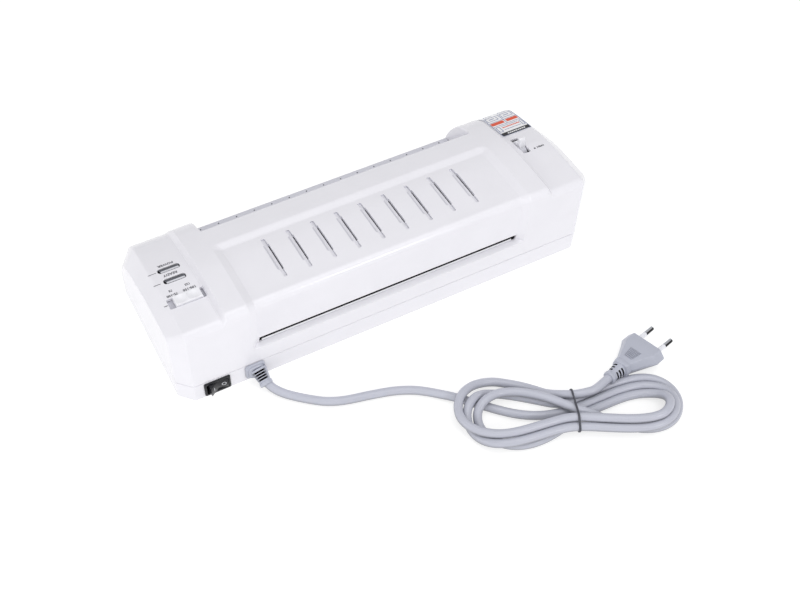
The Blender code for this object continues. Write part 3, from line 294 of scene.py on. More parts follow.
LOOKS = {
    "casing": ("casing_white", (234, 233, 239), 0.21, 2400, 0.10, 0.012),
    "cap": ("cap_white", (236, 236, 241), 0.3, 3200, 0.06, 0.012),
    "lip": ("lip_white", (240, 240, 245), 0.28, 2600, 0.05, 0.01),
    # The tray's grey is painted shade behind the overhang.
    "tray": ("tray_grey", (212, 212, 221), 0.36, 2200, 0.1, 0.02),
    # Black for the relief slots, lamp liners, the path plate and the sheet under the vents: painted shade.
    "dark": ("painted_shade_black", (13, 13, 16), 0.8, 2400, 0.1, 0.08, {"specular": 0.15}),
    # The dark lamp bar is painted shade: the hole seen through the clear lens.
    "lamp": ("lamp_painted_shade", (84, 86, 96), 0.14, 1800, 0.03, 0.05, {"coat": 0.6}),
    "print": ("print_grey", (50, 52, 62), 0.5, 4200, 0.05, 0.08),
    # Grey for the slider well floor and the lever skirt: painted shade in the recesses.
    "floor": ("well_floor_painted_shade", (205, 205, 213), 0.5, 2400, 0.1, 0.03),
    "lens": ("lamp_clear", (214, 215, 222), 0.16, 1800, 0.03, 0.03, {"coat": 0.6}),
    "label": ("label_film", (244, 244, 247), 0.22, 3000, 0.04, 0.01, {"coat": 0.3}),
    "red": ("label_red", (224, 84, 52), 0.4, 3000, 0.04, 0.04),
    "black": ("label_black", (34, 34, 40), 0.3, 3000, 0.04, 0.06),
    "blue": ("label_line", (112, 124, 162), 0.35, 3000, 0.04, 0.05),
    "switch": ("switch_black", (26, 27, 32), 0.26, 2600, 0.12, 0.08, {"specular": 0.3}),
    "mark": ("switch_mark", (208, 209, 216), 0.4, 3600, 0.05, 0.03),
    # The cord's painted shading darkens its underside and the gaps between strands: painted shade.
    "cord": ("cord_sheath", (186, 188, 200), 0.32, 1500, 0.12, 0.025,
             {"cloud": 28, "painted_shading": ((0, 0.15, -1), -0.55, 0.35, 0.3)}),
    # The plug's painted shading darkens its underside: painted shade.
    "plug": ("plug_grey", (180, 183, 196), 0.36, 2600, 0.2, 0.02,
             {"painted_shading": ((0, 0.15, -1), -0.15, 0.6, 0.35)}),
    # Darker grip pads: painted shade between the studs.
    "grip": ("plug_grip_painted_shade", (146, 149, 162), 0.5, 2600, 0.2, 0.03),
    # Grey on the vent groove floors is painted shade in the grooves.
    "groove": ("vent_floor_painted_shade", (206, 206, 214), 0.45, 2400, 0.1, 0.02),
    "tie": ("tie_dark", (70, 71, 80), 0.45, 2600, 0.15, 0.1),
    "sleeve": ("pin_sleeve", (236, 237, 243), 0.34, 2600, 0.05, 0.02),
    # The pins' painted shading is a painted dark reflection on faces turned to the near side, right and up.
    "pin": ("pin_metal", (206, 208, 214), 0.12, 5200, 0.03, 0.05,
            {"metallic": 1.0, "stretch": (1, 1, 6), "painted_shading": ((0.32, -0.85, 0.42), 0.64, 0.82, 0.06)}),
    "steel": ("steel", (188, 190, 196), 0.32, 900, 0.1, 0.08, {"metallic": 1.0, "stretch": (0.15, 3, 3)}),
    "zinc": ("zinc_sheet", (172, 176, 184), 0.38, 260, 0.08, 0.14, {"metallic": 1.0, "cloud": 160}),
    "brass": ("sintered_bush", (176, 152, 104), 0.45, 3800, 0.2, 0.1, {"metallic": 1.0}),
    "aluminium": ("aluminium", (204, 206, 210), 0.34, 800, 0.1, 0.05,
                  {"metallic": 1.0, "stretch": (0.1, 3, 3)}),
    "silicone": ("silicone_red", (168, 72, 50), 0.58, 1400, 0.25, 0.08),
    "rubber": ("rubber_dark", (70, 70, 74), 0.72, 1600, 0.35, 0.1),
    "gear": ("gear_ivory", (232, 229, 214), 0.42, 2000, 0.08, 0.03),
    "board": ("board_green", (32, 104, 62), 0.34, 700, 0.15, 0.16, {"coat": 0.5, "cloud": 220}),
    "can": ("thermostat_can", (60, 60, 66), 0.4, 2200, 0.1, 0.1),
}


def build_materials():
    made = {}
    for key, (name, tone, roughness, grain, bump, tint, *more) in LOOKS.items():
        extra = more[0] if more else {}
        made[key] = surface_material(name, srgb(*tone), roughness, grain, bump, tint, **extra)
    return made


# Mesh helpers, all taking (run, depth, z) in millimetres

def mesh_from(points, faces):
    mesh = bpy.data.meshes.new("shape")
    mesh.from_pydata([place(*p) for p in points], [], faces)
    work = bmesh.new()
    work.from_mesh(mesh)
    bmesh.ops.recalc_face_normals(work, faces=work.faces)
    work.to_mesh(mesh)
    work.free()
    return mesh


def joined(meshes):
    work = bmesh.new()
    for mesh in meshes:
        work.from_mesh(mesh)
    made = bpy.data.meshes.new("shape")
    work.to_mesh(made)
    work.free()
    return made


def loft(rings):
    """Closed solid through rings that have the same number of points."""
    count = len(rings[0])
    points = [p for ring in rings for p in ring]
    faces = [list(range(count))]
    for i in range(len(rings) - 1):
        for j in range(count):
            k = (j + 1) % count
            faces.append([i * count + j, i * count + k, (i + 1) * count + k, (i + 1) * count + j])
    faces.append([(len(rings) - 1) * count + j for j in range(count)])
    return mesh_from(points, faces)


def looped(sections):
    """Closed band through sections that go all the way round."""
    count = len(sections[0])
    points = [p for section in sections for p in section]
    faces = []
    for i in range(len(sections)):
        n = (i + 1) % len(sections)
        for j in range(count):
            k = (j + 1) % count
            faces.append([i * count + j, i * count + k, n * count + k, n * count + j])
    return mesh_from(points, faces)


def prism_run(outline, low, high):
    return loft([[(run, depth, z) for depth, z in outline] for run in (low, high)])


def prism_z(outline, low, high):
    return loft([[(run, depth, z) for run, depth in outline] for z in (low, high)])


def block(low, high):
    outline = [(low[0], low[1]), (high[0], low[1]), (high[0], high[1]), (low[0], high[1])]
    return prism_z(outline, low[2], high[2])


def circle(centre, radius, count):
    return [(centre[0] + radius * math.cos(a), centre[1] + radius * math.sin(a))
            for a in (2 * math.pi * i / count for i in range(count))]


def bezier(a, b, c, t):
    """A place on the curve from a to c that is drawn towards b."""
    return a * (1 - t)**2 + b * (2 * t * (1 - t)) + c * t**2


def rounded_rectangle(centre, size, radius, steps=5):
    points = []
    for corner in range(4):
        sx = 1 if corner in (0, 3) else -1
        sy = 1 if corner in (0, 1) else -1
        cx = centre[0] + sx * (size[0] / 2 - radius)
        cy = centre[1] + sy * (size[1] / 2 - radius)
        for i in range(steps + 1):
            a = (corner + i / steps) * math.pi / 2
            points.append((cx + radius * math.cos(a), cy + radius * math.sin(a)))
    return points


def grown(plan, distance):
    """A counter-clockwise plan moved outwards by a distance."""
    moved = []
    for i, (x, y) in enumerate(plan):
        before, after = plan[i - 1], plan[(i + 1) % len(plan)]
        first = Vector((y - before[1], before[0] - x)).normalized()
        second = Vector((after[1] - y, x - after[0])).normalized()
        out = (first + second).normalized()
        reach = distance / max(out.dot(first), 0.5)
        moved.append((x + out.x * reach, y + out.y * reach))
    return moved


def filleted(plan, radius, steps=4):
    """A plan with its corners rounded."""
    points = []
    for i, p in enumerate(plan):
        p = Vector(p)
        before, after = Vector(plan[i - 1]), Vector(plan[(i + 1) % len(plan)])
        a = p + (before - p).normalized() * radius
        b = p + (after - p).normalized() * radius
        for j in range(steps + 1):
            points.append(tuple(bezier(a, p, b, j / steps)))
    return points


def turned(steps, start, direction, sides):
    """Solid of revolution: steps are (distance along the axis, radius)."""
    along = Vector(direction).normalized()
    side = along.orthogonal().normalized()
    other = along.cross(side)
    rings = []
    for distance, radius in steps:
        middle = Vector(start) + along * distance
        rings.append([tuple(middle + (side * math.cos(2 * math.pi * i / sides)
                                      + other * math.sin(2 * math.pi * i / sides)) * radius)
                      for i in range(sides)])
    return loft(rings)


def boolean(mesh, other, operation="DIFFERENCE"):
    holder = bpy.data.objects.new("holder", mesh)
    tool = bpy.data.objects.new("tool", other)
    for item in (holder, tool):
        bpy.context.scene.collection.objects.link(item)
    step = holder.modifiers.new("cut", "BOOLEAN")
    step.operation = operation
    step.solver = "EXACT"
    step.object = tool
    seen = holder.evaluated_get(bpy.context.evaluated_depsgraph_get())
    made = bpy.data.meshes.new_from_object(seen)
    for item in (holder, tool):
        bpy.data.objects.remove(item, do_unlink=True)
    return made


def add(name, mesh, material, body="casing", replaces=(), sharp=38, spare=None):
    """Put a mesh into the scene as a piece that rides on a body; spare is its second material."""
    kept = [face.material_index for face in mesh.polygons] if spare else None
    mesh.materials.clear()
    mesh.materials.append(material)
    if spare:
        mesh.materials.append(spare)
        mesh.polygons.foreach_set("material_index", kept)
    mesh.shade_smooth()
    piece = bpy.data.objects.new(name, mesh)
    bpy.context.scene.collection.objects.link(piece)
    mesh.set_sharp_from_angle(angle=math.radians(sharp))
    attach(piece, body)
    if replaces:
        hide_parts(*replaces)
    return piece


def smooth_path(points, spacing):
    """Evenly read points of a Catmull-Rom curve through the given points."""
    knots = [Vector(p) for p in points]
    knots = [2 * knots[0] - knots[1]] + knots + [2 * knots[-1] - knots[-2]]
    path = []
    for i in range(1, len(knots) - 2):
        a, b, c, d = knots[i - 1:i + 3]
        parts = max(2, round((c - b).length / spacing))
        for j in range(parts):
            t = j / parts
            path.append(0.5 * (2 * b + (c - a) * t + (2 * a - 5 * b + 4 * c - d) * t**2
                               + (3 * b - a - 3 * c + d) * t**3))
    path.append(knots[-2])
    return path


# The mains lead

def hank_crossings():
    """Where the strands pass the middle of the hank, as (across, z), and the frame they are in."""
    left, right = (Vector((*end, 0.0)) for end in HANK_ENDS)
    middle, along = (left + right) / 2, (right - left).normalized()
    across = Vector((-along.y, along.x, 0.0))
    found = []
    for a, b in zip(CORD_ROUTE, CORD_ROUTE[1:]):
        u, v = (Vector(p) - middle for p in (a, b))
        if u.dot(along) * v.dot(along) <= 0 and abs(u.dot(along)) < 15:
            share = u.dot(along) / (u.dot(along) - v.dot(along))
            p = u.lerp(v, share)
            found.append((p.dot(across), Vector(a).lerp(Vector(b), share).z))
    return found, middle, along, across


def hull(points):
    """Smallest convex outline round some points."""
    points = sorted(set(points))
    halves = []
    for order in (points, points[::-1]):
        chain = []
        for p in order:
            while len(chain) > 1:
                (ax, ay), (bx, by) = chain[-2:]
                if (bx - ax) * (p[1] - ay) - (by - ay) * (p[0] - ax) > 0:
                    break
                chain.pop()
            chain.append(p)
        halves += chain[:-1]
    return halves


def cord_tie(paint):
    """Thin band pulled tight round the strands of the waist."""
    strands, middle, along, across = hank_crossings()
    radius = CORD_DIAMETER / 2 + 0.5
    ring = [(v + radius * math.cos(a), max(z + radius * math.sin(a), 0.6))
            for v, z in strands for a in (2 * math.pi * i / 20 for i in range(20))]
    loop = hull([(round(v, 3), round(z, 3)) for v, z in ring])
    centre = (sum(v for v, _ in loop) / len(loop), sum(z for _, z in loop) / len(loop))
    rings = []
    for v, z in loop:
        out = Vector((v - centre[0], z - centre[1])).normalized()
        section = []
        for wide, thick in ((-0.8, -0.3), (-0.55, -0.45), (0.55, -0.45), (0.8, -0.3), (0.8, 0.3),
                            (0.55, 0.45), (-0.55, 0.45), (-0.8, 0.3)):
            spot = middle + across * (v + out.x * thick) + along * wide
            section.append((spot.x, spot.y, max(z + out.y * thick, 0.1)))
        rings.append(section)
    add("cord_tie_band", looped(rings), paint["tie"], replaces=["cord_tie"], sharp=50)


def tube_mesh(points, radius, sides):
    """Closed tube along a line of points."""
    line = [Vector(p) for p in points]
    rings, across = [], None
    for i, p in enumerate(line):
        along = (line[min(i + 1, len(line) - 1)] - line[max(i - 1, 0)]).normalized()
        across = along.orthogonal() if across is None else across - along * across.dot(along)
        across.normalize()
        other = along.cross(across)
        rings.append([tuple(p + (across * math.cos(a) + other * math.sin(a)) * radius)
                      for a in (2 * math.pi * j / sides for j in range(sides))])
    return loft(rings)


def mains_cord(paint):
    path = smooth_path(CORD_ROUTE, 2.4)
    data = bpy.data.curves.new("mains_cord", "CURVE")
    data.dimensions = "3D"
    data.bevel_depth = CORD_DIAMETER / 2000
    data.bevel_resolution = 7
    data.use_fill_caps = True
    spline = data.splines.new("POLY")
    spline.points.add(len(path) - 1)
    for knot, point in zip(spline.points, path):
        knot.co = (*place(*point), 1.0)
    spline.use_smooth = True
    data.materials.append(paint["cord"])
    piece = bpy.data.objects.new("mains_cord", data)
    bpy.context.scene.collection.objects.link(piece)
    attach(piece, "casing")
    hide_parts("cord_lead", "cord_hank", "cord_tail")
    return piece


def plug_place():
    """Matrix of the plug, whose own +X runs from the cord to the pins."""
    turn = (Matrix.Rotation(PLUG_TURNS[0], 4, "Z") @ Matrix.Rotation(PLUG_TURNS[1], 4, "Y")
            @ Matrix.Rotation(PLUG_TURNS[2], 4, "X"))
    return Matrix.Translation(PLUG_FACE) @ turn


def placed(rings, matrix):
    """Rings moved by a matrix."""
    return [[tuple(matrix @ Vector(p)) for p in ring] for ring in rings]


def plug_section(x, widest, flat, thick):
    """Six-sided section of the plug with blunt edges, across its own X axis."""
    half = [(widest, -0.6), (widest, 0.6), (flat, thick), (-flat, thick)]
    plan = filleted(half + [(-y, -z) for y, z in half], 0.5, 3)
    return [(x, y, z) for y, z in plan]


def relief(start, end, near_radius, far_radius, slots, spine, turn=0.0):
    """Tapered strain relief: slots between ribs with their insides painted black as shade, left closed along
    a spine, and a ring at its end.
    """
    along = Vector(end) - Vector(start)
    run = along.length
    steps = [(0.0, near_radius)]
    for i in range(25):
        t = i / 24
        steps.append((run * (0.03 + 0.72 * t), near_radius + (far_radius - near_radius) * t))
    ring = far_radius + 0.55
    steps += [(run * 0.77, far_radius), (run * 0.785, ring - 0.15), (run * 0.80, ring), (run * 0.95, ring),
              (run * 0.985, ring - 0.15), (run, ring - 0.5)]
    body = turned(steps, start, along, 44)
    along.normalize()
    side = Vector((0, 0, 1)).cross(along).normalized()
    up = along.cross(side)
    cutters = []
    for i in range(slots):
        share = 0.13 + 0.60 * (i + 0.3) / slots
        radius = near_radius + (far_radius - near_radius) * share
        for side_sign in (1, -1):
            half = math.radians(90 - spine)
            middle = turn + (0.0 if side_sign > 0 else math.pi)
            centre = Vector(start) + along * (run * share)
            inner, outer = radius - 1.9, radius + 1.2
            rings = []
            for j in range(15):
                a = middle + half * (j / 7 - 1)
                out = side * math.cos(a) + up * math.sin(a)
                rings.append([tuple(centre + along * x + out * r) for x, r in (
                    (-0.75, inner), (0.75, inner), (0.75, outer), (-0.75, outer))])
            cutters.append(loft(rings))
    mesh = boolean(body, joined(cutters))
    # Faces inside the slots get the second material, black as painted shade.
    for face in mesh.polygons:
        spot = unplace(face.center) - Vector(start)
        share = spot.dot(along) / run
        reach = (spot - along * spot.dot(along)).length
        skin = near_radius + (far_radius - near_radius) * share / 0.75
        face.material_index = 1 if 0.08 < share < 0.75 and reach < skin - 0.5 else 0
    return mesh


def plug(paint):
    """Moulded shell with studded grips, its strain relief and two sleeved pins."""
    matrix = plug_place()
    stations = ((0.0, 16.6, 12.2, 6.0), (-0.25, 17.1, 12.6, 6.4), (-0.8, 17.5, 12.8, 6.6),
                (-8.6, 17.6, 12.9, 6.7), (-9.4, 17.4, 12.7, 6.7), (-14.0, 14.6, 10.9, 6.6),
                (-28.2, 7.7, 5.4, 6.2), (-29.4, 7.2, 5.1, 6.0), (-29.7, 7.6, 5.7, 6.6),
                (-30.2, 7.8, 5.9, 6.8), (-32.6, 7.6, 5.7, 6.6), (-33.2, 7.2, 5.3, 6.2),
                (-33.5, 6.4, 4.8, 5.5))
    body = loft(placed([plug_section(*station) for station in stations], matrix))
    grips = []
    for side in (1, -1):
        patch = [(-14.2, 5.4), (-24.6, 3.7), (-24.6, -3.7), (-14.2, -5.4)]
        edge = [matrix @ Vector((x, y, side * (6.9 + 0.025 * x))) for x, y in filleted(patch, 0.8, 3)]
        grips.append(tube_mesh(edge + edge[:2], 0.34, 8))
        for i in range(6):
            x = -15.4 - 1.6 * i
            half = 4.4 - 0.26 * i
            for j in range(7):
                y = half * (j / 3 - 1) + (0.35 if i % 2 else -0.35)
                if abs(y) > half + 0.2:
                    continue
                stud = [[(a, b, side * z) for a, b in circle((x, y), r, 4)]
                        for r, z in ((0.6, 6.3), (0.55, 6.95), (0.3, 7.15))]
                grips.append(loft(placed(stud, matrix)))
    pads = []
    for side in (1, -1):
        ring = [[(x, y * grow, side * (z + 0.025 * x)) for x, y in patch[::side]]
                for grow, z in ((0.96, 6.5), (0.96, 7.12))]
        pads.append(loft(placed(ring, matrix)))
    add("plug_shell", joined([body] + grips), paint["plug"], replaces=["plug_body"],
        sharp=24)
    # The grip pads are darker as painted shade between the studs.
    add("plug_grip_painted_shade", joined(pads), paint["grip"], sharp=30)
    start, end = (matrix @ Vector((x, 0, 0)) for x in (-33.0, -47.0))
    add("plug_relief", relief(start, end, 5.9, 4.7, 3, 22), paint["plug"],
        sharp=40, spare=paint["dark"])
    for node, side in (("plug_pin_near", -1), ("plug_pin_far", 1)):
        y = side * PIN_SPACING / 2
        base = [tuple(matrix @ Vector((x, y, 0))) for x in (-3.0, 10.2)]
        steps = [(0.0, 2.0), (12.4, 2.0), (12.8, 1.9), (13.2, 1.6)]
        add(node + "_sleeve", turned(steps, base[0], matrix.to_3x3() @ Vector((1, 0, 0)), 28),
            paint["sleeve"], sharp=40)
        steps = [(0.0, 1.9), (8.2, 1.9), (8.7, 1.8), (9.0, 1.5), (9.1, 0.6)]
        add(node + "_tip", turned(steps, base[1], matrix.to_3x3() @ Vector((1, 0, 0)), 28), paint["pin"],
            replaces=[node], sharp=40)


def on_wall(middle, steps, fineness):
    """Solid on the near wall: rounded rectangles, as (depth, width, height, corner radius)."""
    return loft([[(run, depth, z) for run, z in rounded_rectangle(middle, (wide, high), radius, fineness)]
                 for depth, wide, high, radius in steps])


def cord_exit(paint):
    """Flange and tapered strain relief where the lead leaves the casing."""
    middle = (sum(INLET_RUN) / 2, sum(INLET_Z) / 2)
    wide, high = INLET_RUN[1] - INLET_RUN[0], INLET_Z[1] - INLET_Z[0]
    flange = on_wall(middle, [(depth, wide - 2 * s, high - 2 * s, 2.6 - s * 0.5) for depth, s in (
        (-0.35, 0.0), (-1.6, 0.05), (-2.0, 0.25), (-2.2, 0.7))], 6)
    collar = on_wall(middle, [(depth, side, side, 3.4) for depth, side in (
        (-2.0, 12.6), (-3.4, 12.4), (-3.9, 11.8))], 6)
    body = relief((62.0, -2.0, 13.4), (63.6, -14.2, 7.0), 6.6, 4.7, 4, 26, math.radians(115))
    neck = on_wall(middle, [(depth, 10.2, 9.2, 1.0) for depth in (-1.5, 4.4)], 3)
    add("cord_exit_flange", joined([flange, collar, neck]), paint["plug"], sharp=40)
    add("cord_exit_boot", body, paint["plug"], replaces=["cord_boot"], sharp=40,
        spare=paint["dark"])


# Cover, base and tray

def ease(value):
    t = min(max(value, 0.0), 1.0)
    return t * t * (3 - 2 * t)


def ramp(value, soft=0.12):
    """Straight ramp from 0 to 1 with short rounded ends."""
    t = min(max(value, 0.0), 1.0)
    slope = 1 / (1 - soft)
    if t < soft:
        return slope * t * t / (2 * soft)
    if t > 1 - soft:
        return 1 - slope * (1 - t) ** 2 / (2 * soft)
    return slope * (t - soft / 2)


def through(points, where):
    """Height at a place on a smooth curve through (place, height) points."""
    last = len(points) - 1
    k = max(i for i in range(last) if points[i][0] <= where or i == 0)
    slopes = []
    for i in (k, k + 1):
        a, b = points[max(i - 1, 0)], points[min(i + 1, last)]
        slopes.append((b[1] - a[1]) / (b[0] - a[0]))
    span = points[k + 1][0] - points[k][0]
    t = (where - points[k][0]) / span
    return ((2 * t**3 - 3 * t**2 + 1) * points[k][1] + (t**3 - 2 * t**2 + t) * span * slopes[0]
            + (3 * t**2 - 2 * t**3) * points[k + 1][1] + (t**3 - t**2) * span * slopes[1])


def top_height(depth, raised=0.0):
    """Height of the top from near to far, with the raised middle's rise fading at the far side."""
    height = through(TOP_LINE, max(depth, TOP_LINE[0][0]))
    arc_middle = DEPTH - FAR_ARC_RADIUS
    if depth > arc_middle:
        height = min(height, FAR_ARC_Z + math.sqrt(max(FAR_ARC_RADIUS**2 - (depth - arc_middle)**2, 0)))
    return height + raised * (1 - ease((depth - STEP_FADE_FROM) / (DEPTH - STEP_FADE_FROM)))


def end_distance(run):
    return min(run, LENGTH - run)


def raised_at(run):
    return STEP_RISE * ramp((end_distance(run) - STEP_FOOT) / (STEP_HEAD - STEP_FOOT), 0.2)


def panel_share(run, depth):
    """0 outside the sunk panel, 1 on it, with rounded far corners."""
    inward, back = end_distance(run) - PANEL_OUTER, PANEL_FAR - depth
    if inward < PANEL_CORNER and back < PANEL_CORNER:
        reach = PANEL_CORNER - math.hypot(PANEL_CORNER - inward, PANEL_CORNER - back)
    else:
        reach = min(inward, back)
    return ramp(reach / PANEL_SLOPE, 0.12)


def surface(run, depth):
    """Height of the cover's top at a place."""
    return top_height(depth, raised_at(run)) - PANEL_SINK * panel_share(run, depth)


def chamfer(run):
    """How far the near and far faces stand back at the ends of the casing, with soft folds."""
    run = end_distance(run)
    for start, turn, end in (((0.0, CORNER + 0.9), (0.0, CORNER), (0.7, CORNER - 0.7)),
                             ((CORNER - 0.8, 0.8), (CORNER, 0.0), (CORNER + 1.0, 0.0))):
        if start[0] <= run <= end[0]:
            t = 0.0
            for _ in range(30):
                t = min(max(t + (run - bezier(start[0], turn[0], end[0], t)) * 0.5, 0.0), 1.0)
            return bezier(start[1], turn[1], end[1], t)
    return max(CORNER - run, 0.0)


def shrunk(line, stand):
    """A line from near to far with both its ends standing back, more so towards the top."""
    shrink = (DEPTH - 2 * stand) / DEPTH
    return [(stand + depth * shrink, z - stand * min(max((z - FAR_ARC_Z) / CHAMFER_FADE, 0), 1))
            for depth, z in line]


def cover_ring(run):
    """The cover's outside at one run, from the near seam over the top to the far seam."""
    low = SEAM + GAP / 2
    share = panel_share(run, 20.0)
    sink, raised = PANEL_SINK * share, raised_at(run)
    line = [(0.5, low), (0.12, low + 0.25), (0.0, low + 0.7), (0.0, 28.0), (0.0, LEDGE_LOW - 0.6)]
    reach = LEDGE_DEPTH * share
    line += [(0.0, LEDGE_LOW - 0.15), (0.25 * share, LEDGE_LOW + 0.05),
             (reach * 0.5, (LEDGE_LOW + LEDGE_HIGH) / 2), (reach, LEDGE_HIGH),
             (sink, SLOT_TOP - 0.2), (sink, SLOT_TOP + 0.4), (sink, 56.0), (sink, 66.0)]
    start = top_height(EDGE_ROUND, raised) - sink
    middle = start - EDGE_ROUND
    for i in range(11):
        a = i * math.pi / 20
        line.append((sink + EDGE_ROUND * (1 - math.cos(a)), middle + EDGE_ROUND * math.sin(a)))
    depths = [11.5, 14, 18, 24, 30, 36, 42, 48, 54, 60, 63, 65, 65.8, 66.6, 67.6, 69, 70.4, 71.6, 72.4, 73.2,
              75, 78, 81, 84, 87, 90, 93, 95.5, 97, 98.5, 100, 103, 106, 109, 112, 114.5, 117, 119, 121, 123,
              124.8, 126.4, 127.9, 129.2, 130.3, 131.2, 131.9, 132.45, 132.8]
    back = min(LENGTH - run, run)
    for depth in depths:
        rim = max(back - (TRAY_SIDE - 1.8), 0.0) if depth > 97 else 0.0
        drop = 1.8 - math.sqrt(max(1.8**2 - min(rim, 1.8)**2, 0.0)) if rim else 0.0
        line.append((depth, surface(run, depth) - drop * ease((depth - 96.5) / 3)))
    line += [(DEPTH, FAR_ARC_Z), (DEPTH, low + 0.7), (DEPTH - 0.12, low + 0.25), (DEPTH - 0.5, low)]
    return [(run, depth, z) for depth, z in shrunk(line, chamfer(run))]


def cover_runs():
    """Runs of the cover's rings: close together where it folds, far apart where it is straight."""
    left = [0.0, 0.08, 0.25, 0.5, 0.9, 2.5, 5.0, 7.5, 9.6, 9.95, 10.3, 10.7, 11.1, 11.6, 14, 18, 24, 30, 36,
            38.6, 39.3, 39.7, 40.1, 40.5, 41.5, 42.5, 42.9, 43.3, 43.7, 44.4, 48, 54, 58.0, 59.0, 59.4, 59.8,
            60.1, 60.4, 60.65, 60.85, 61.0, 61.5, 62.5, 64.0, 65.5, 66.2, 66.6, 67.0, 67.6, 69.0, 72, 76, 84]
    middle = [96 + 12 * i for i in range(14)]
    return left + middle + [LENGTH - run for run in left[::-1]]


def inner_line(raised, sink):
    """The cover's wall line: the outside moved in by the wall, from the near side to the far side."""
    centre = top_height(EDGE_ROUND, raised) - sink - EDGE_ROUND
    outside = [(sink, 20.0), (sink, 36.0), (sink, 52.0)]
    for i in range(5):
        a = i * math.pi / 8
        outside.append((sink + EDGE_ROUND * (1 - math.cos(a)), centre + EDGE_ROUND * math.sin(a)))
    for depth in (18, 30, 42, 54, 66.4):
        outside.append((depth, top_height(depth, raised) - sink))
    for depth in (72.6, 81, 90, 97, 105, 111, 116, 120, 124, 127, 130, 132):
        outside.append((depth, top_height(depth, raised)))
    outside += [(DEPTH, FAR_ARC_Z), (DEPTH, 20.0)]
    moved = []
    for i, (depth, z) in enumerate(outside):
        a, b = outside[max(i - 1, 0)], outside[min(i + 1, len(outside) - 1)]
        run, rise = b[0] - a[0], b[1] - a[1]
        size = math.hypot(run, rise)
        moved.append((depth + WALL * rise / size, z - WALL * run / size))
    return moved


def clipped(line, low, high):
    """The part of a line between two depths, with upright ends, keeping its number of points."""
    inside = [i for i, (depth, _) in enumerate(line) if low < depth < high]
    first, last = inside[0], inside[-1]

    def crossing(i, depth):
        a, b = line[i], line[i + 1]
        return a[1] + (b[1] - a[1]) * (depth - a[0]) / (b[0] - a[0])

    result = [(max(low, line[0][0]), 0.0)]
    if first > 0:
        top = crossing(first - 1, low)
        result += [(low, top * (k + 1) / first) for k in range(first)]
    result += line[first:last + 1]
    after = len(line) - 1 - last
    if after > 0:
        top = crossing(last, high)
        result += [(high, top * (after - k) / after) for k in range(after)]
    return result + [(min(high, line[-1][0]), 0.0)]


def cover_void():
    """The hollow of the cover: the middle up to the overhang, and the two ends behind it."""
    plain, high = inner_line(0.0, 0.0), inner_line(STEP_RISE, 0.0)
    sunk = inner_line(STEP_RISE, PANEL_SINK)
    stations = [(WALL, shrunk(plain, CORNER)), (CORNER + 1, plain), (STEP_FOOT + 2, plain),
                (STEP_HEAD + 2, high), (PANEL_OUTER - 2, high), (PANEL_OUTER + 5.3, sunk)]
    stations += [(LENGTH - run, line) for run, line in reversed(stations)]
    limit = OVERHANG_DEPTH - WALL
    middle = loft([[(run, d, z) for d, z in clipped(line, 0, limit)] for run, line in stations])
    ends = []
    part = [(WALL, shrunk(plain, CORNER)), (CORNER + 1, plain), (STEP_FOOT + 2, plain),
            (STEP_HEAD + 2, high), (TRAY_SIDE - WALL, high)]
    for flip in (False, True):
        ends.append(loft([[(LENGTH - run if flip else run, d, z)
                           for d, z in clipped(line, OVERHANG_DEPTH - 6, DEPTH)] for run, line in part]))
    return middle, joined(ends)


def tray_gap():
    """Everything behind and below the overhanging middle, with a rounded rim on the overhang."""
    rim_top = top_height(OVERHANG_DEPTH, STEP_RISE)
    start = 92.8
    rim = [(start, top_height(start, STEP_RISE) + 0.04)]
    for i in range(1, 8):
        a, b, c = (start, top_height(start, STEP_RISE)), (96.2, rim_top), (96.35, rim_top - 4.2)
        rim.append(tuple(bezier(a[k], b[k], c[k], i / 8) for k in range(2)))
    outline = [(start, 120.0)] + rim + [(96.4, 69.6), (98.7, OVERHANG_LOW + 0.8), (98.5, OVERHANG_LOW + 0.2),
                                        (98.0, OVERHANG_LOW), (90.0, OVERHANG_LOW), (90.0, 0.0),
                                        (DEPTH + 10, 0.0), (DEPTH + 10, 120.0)]
    return prism_run(outline, TRAY_SIDE, LENGTH - TRAY_SIDE)


def vent_runs():
    first = LENGTH / 2 - VENT_PITCH * (VENT_COUNT - 1) / 2
    return [first + VENT_PITCH * i for i in range(VENT_COUNT)]


def pocket(plan, depths, height):
    """Cutter that follows the cover: (grow, depth below the surface) steps, then straight up."""
    rings = []
    for grow, below in depths:
        rings.append([(run, depth, height(run, depth) - below) for run, depth in grown(plan, grow)])
    rings.append([(run, depth, 100.0) for run, depth in grown(plan, depths[-1][0])])
    return loft(rings)


def plain_top(run, depth):
    return top_height(depth)


def panel_top(run, depth):
    return top_height(depth, STEP_RISE) - PANEL_SINK


def vent_cutter(run):
    """Louvre: a narrow groove, and along its middle a ramp that falls from the left to the slit."""
    half = VENT_NARROW / 2
    left, right = VENT_RAMP
    near, far = VENT_SPAN
    groove = [(run + a, b) for a, b in ((-half, near), (half, near), (half, far), (-half, far))]
    edge = [(-0.1, 1.5), (0.0, 1.4), (0.0, 0.1), (0.12, 0.0), (0.2, -0.05)]
    parts = [pocket(filleted(groove, 0.9, 4), edge, panel_top)]
    near, far = VENT_WIDE_SPAN
    rings = []
    for depth, inward in ((near, 0.7), (near + 0.5, 0.25), (near + 1.1, 0.0), (far - 1.1, 0.0),
                          (far - 0.5, 0.25), (far, 0.7)):
        top = panel_top(run, depth)
        rings.append([(run + left + inward, depth, top + 0.3), (run + left + inward, depth, top - 0.15),
                      (run + right - VENT_SLIT, depth, top - 1.3), (run + right, depth, top - 1.35),
                      (run + right, depth, top + 0.3)])
    parts.append(loft(rings))
    return parts


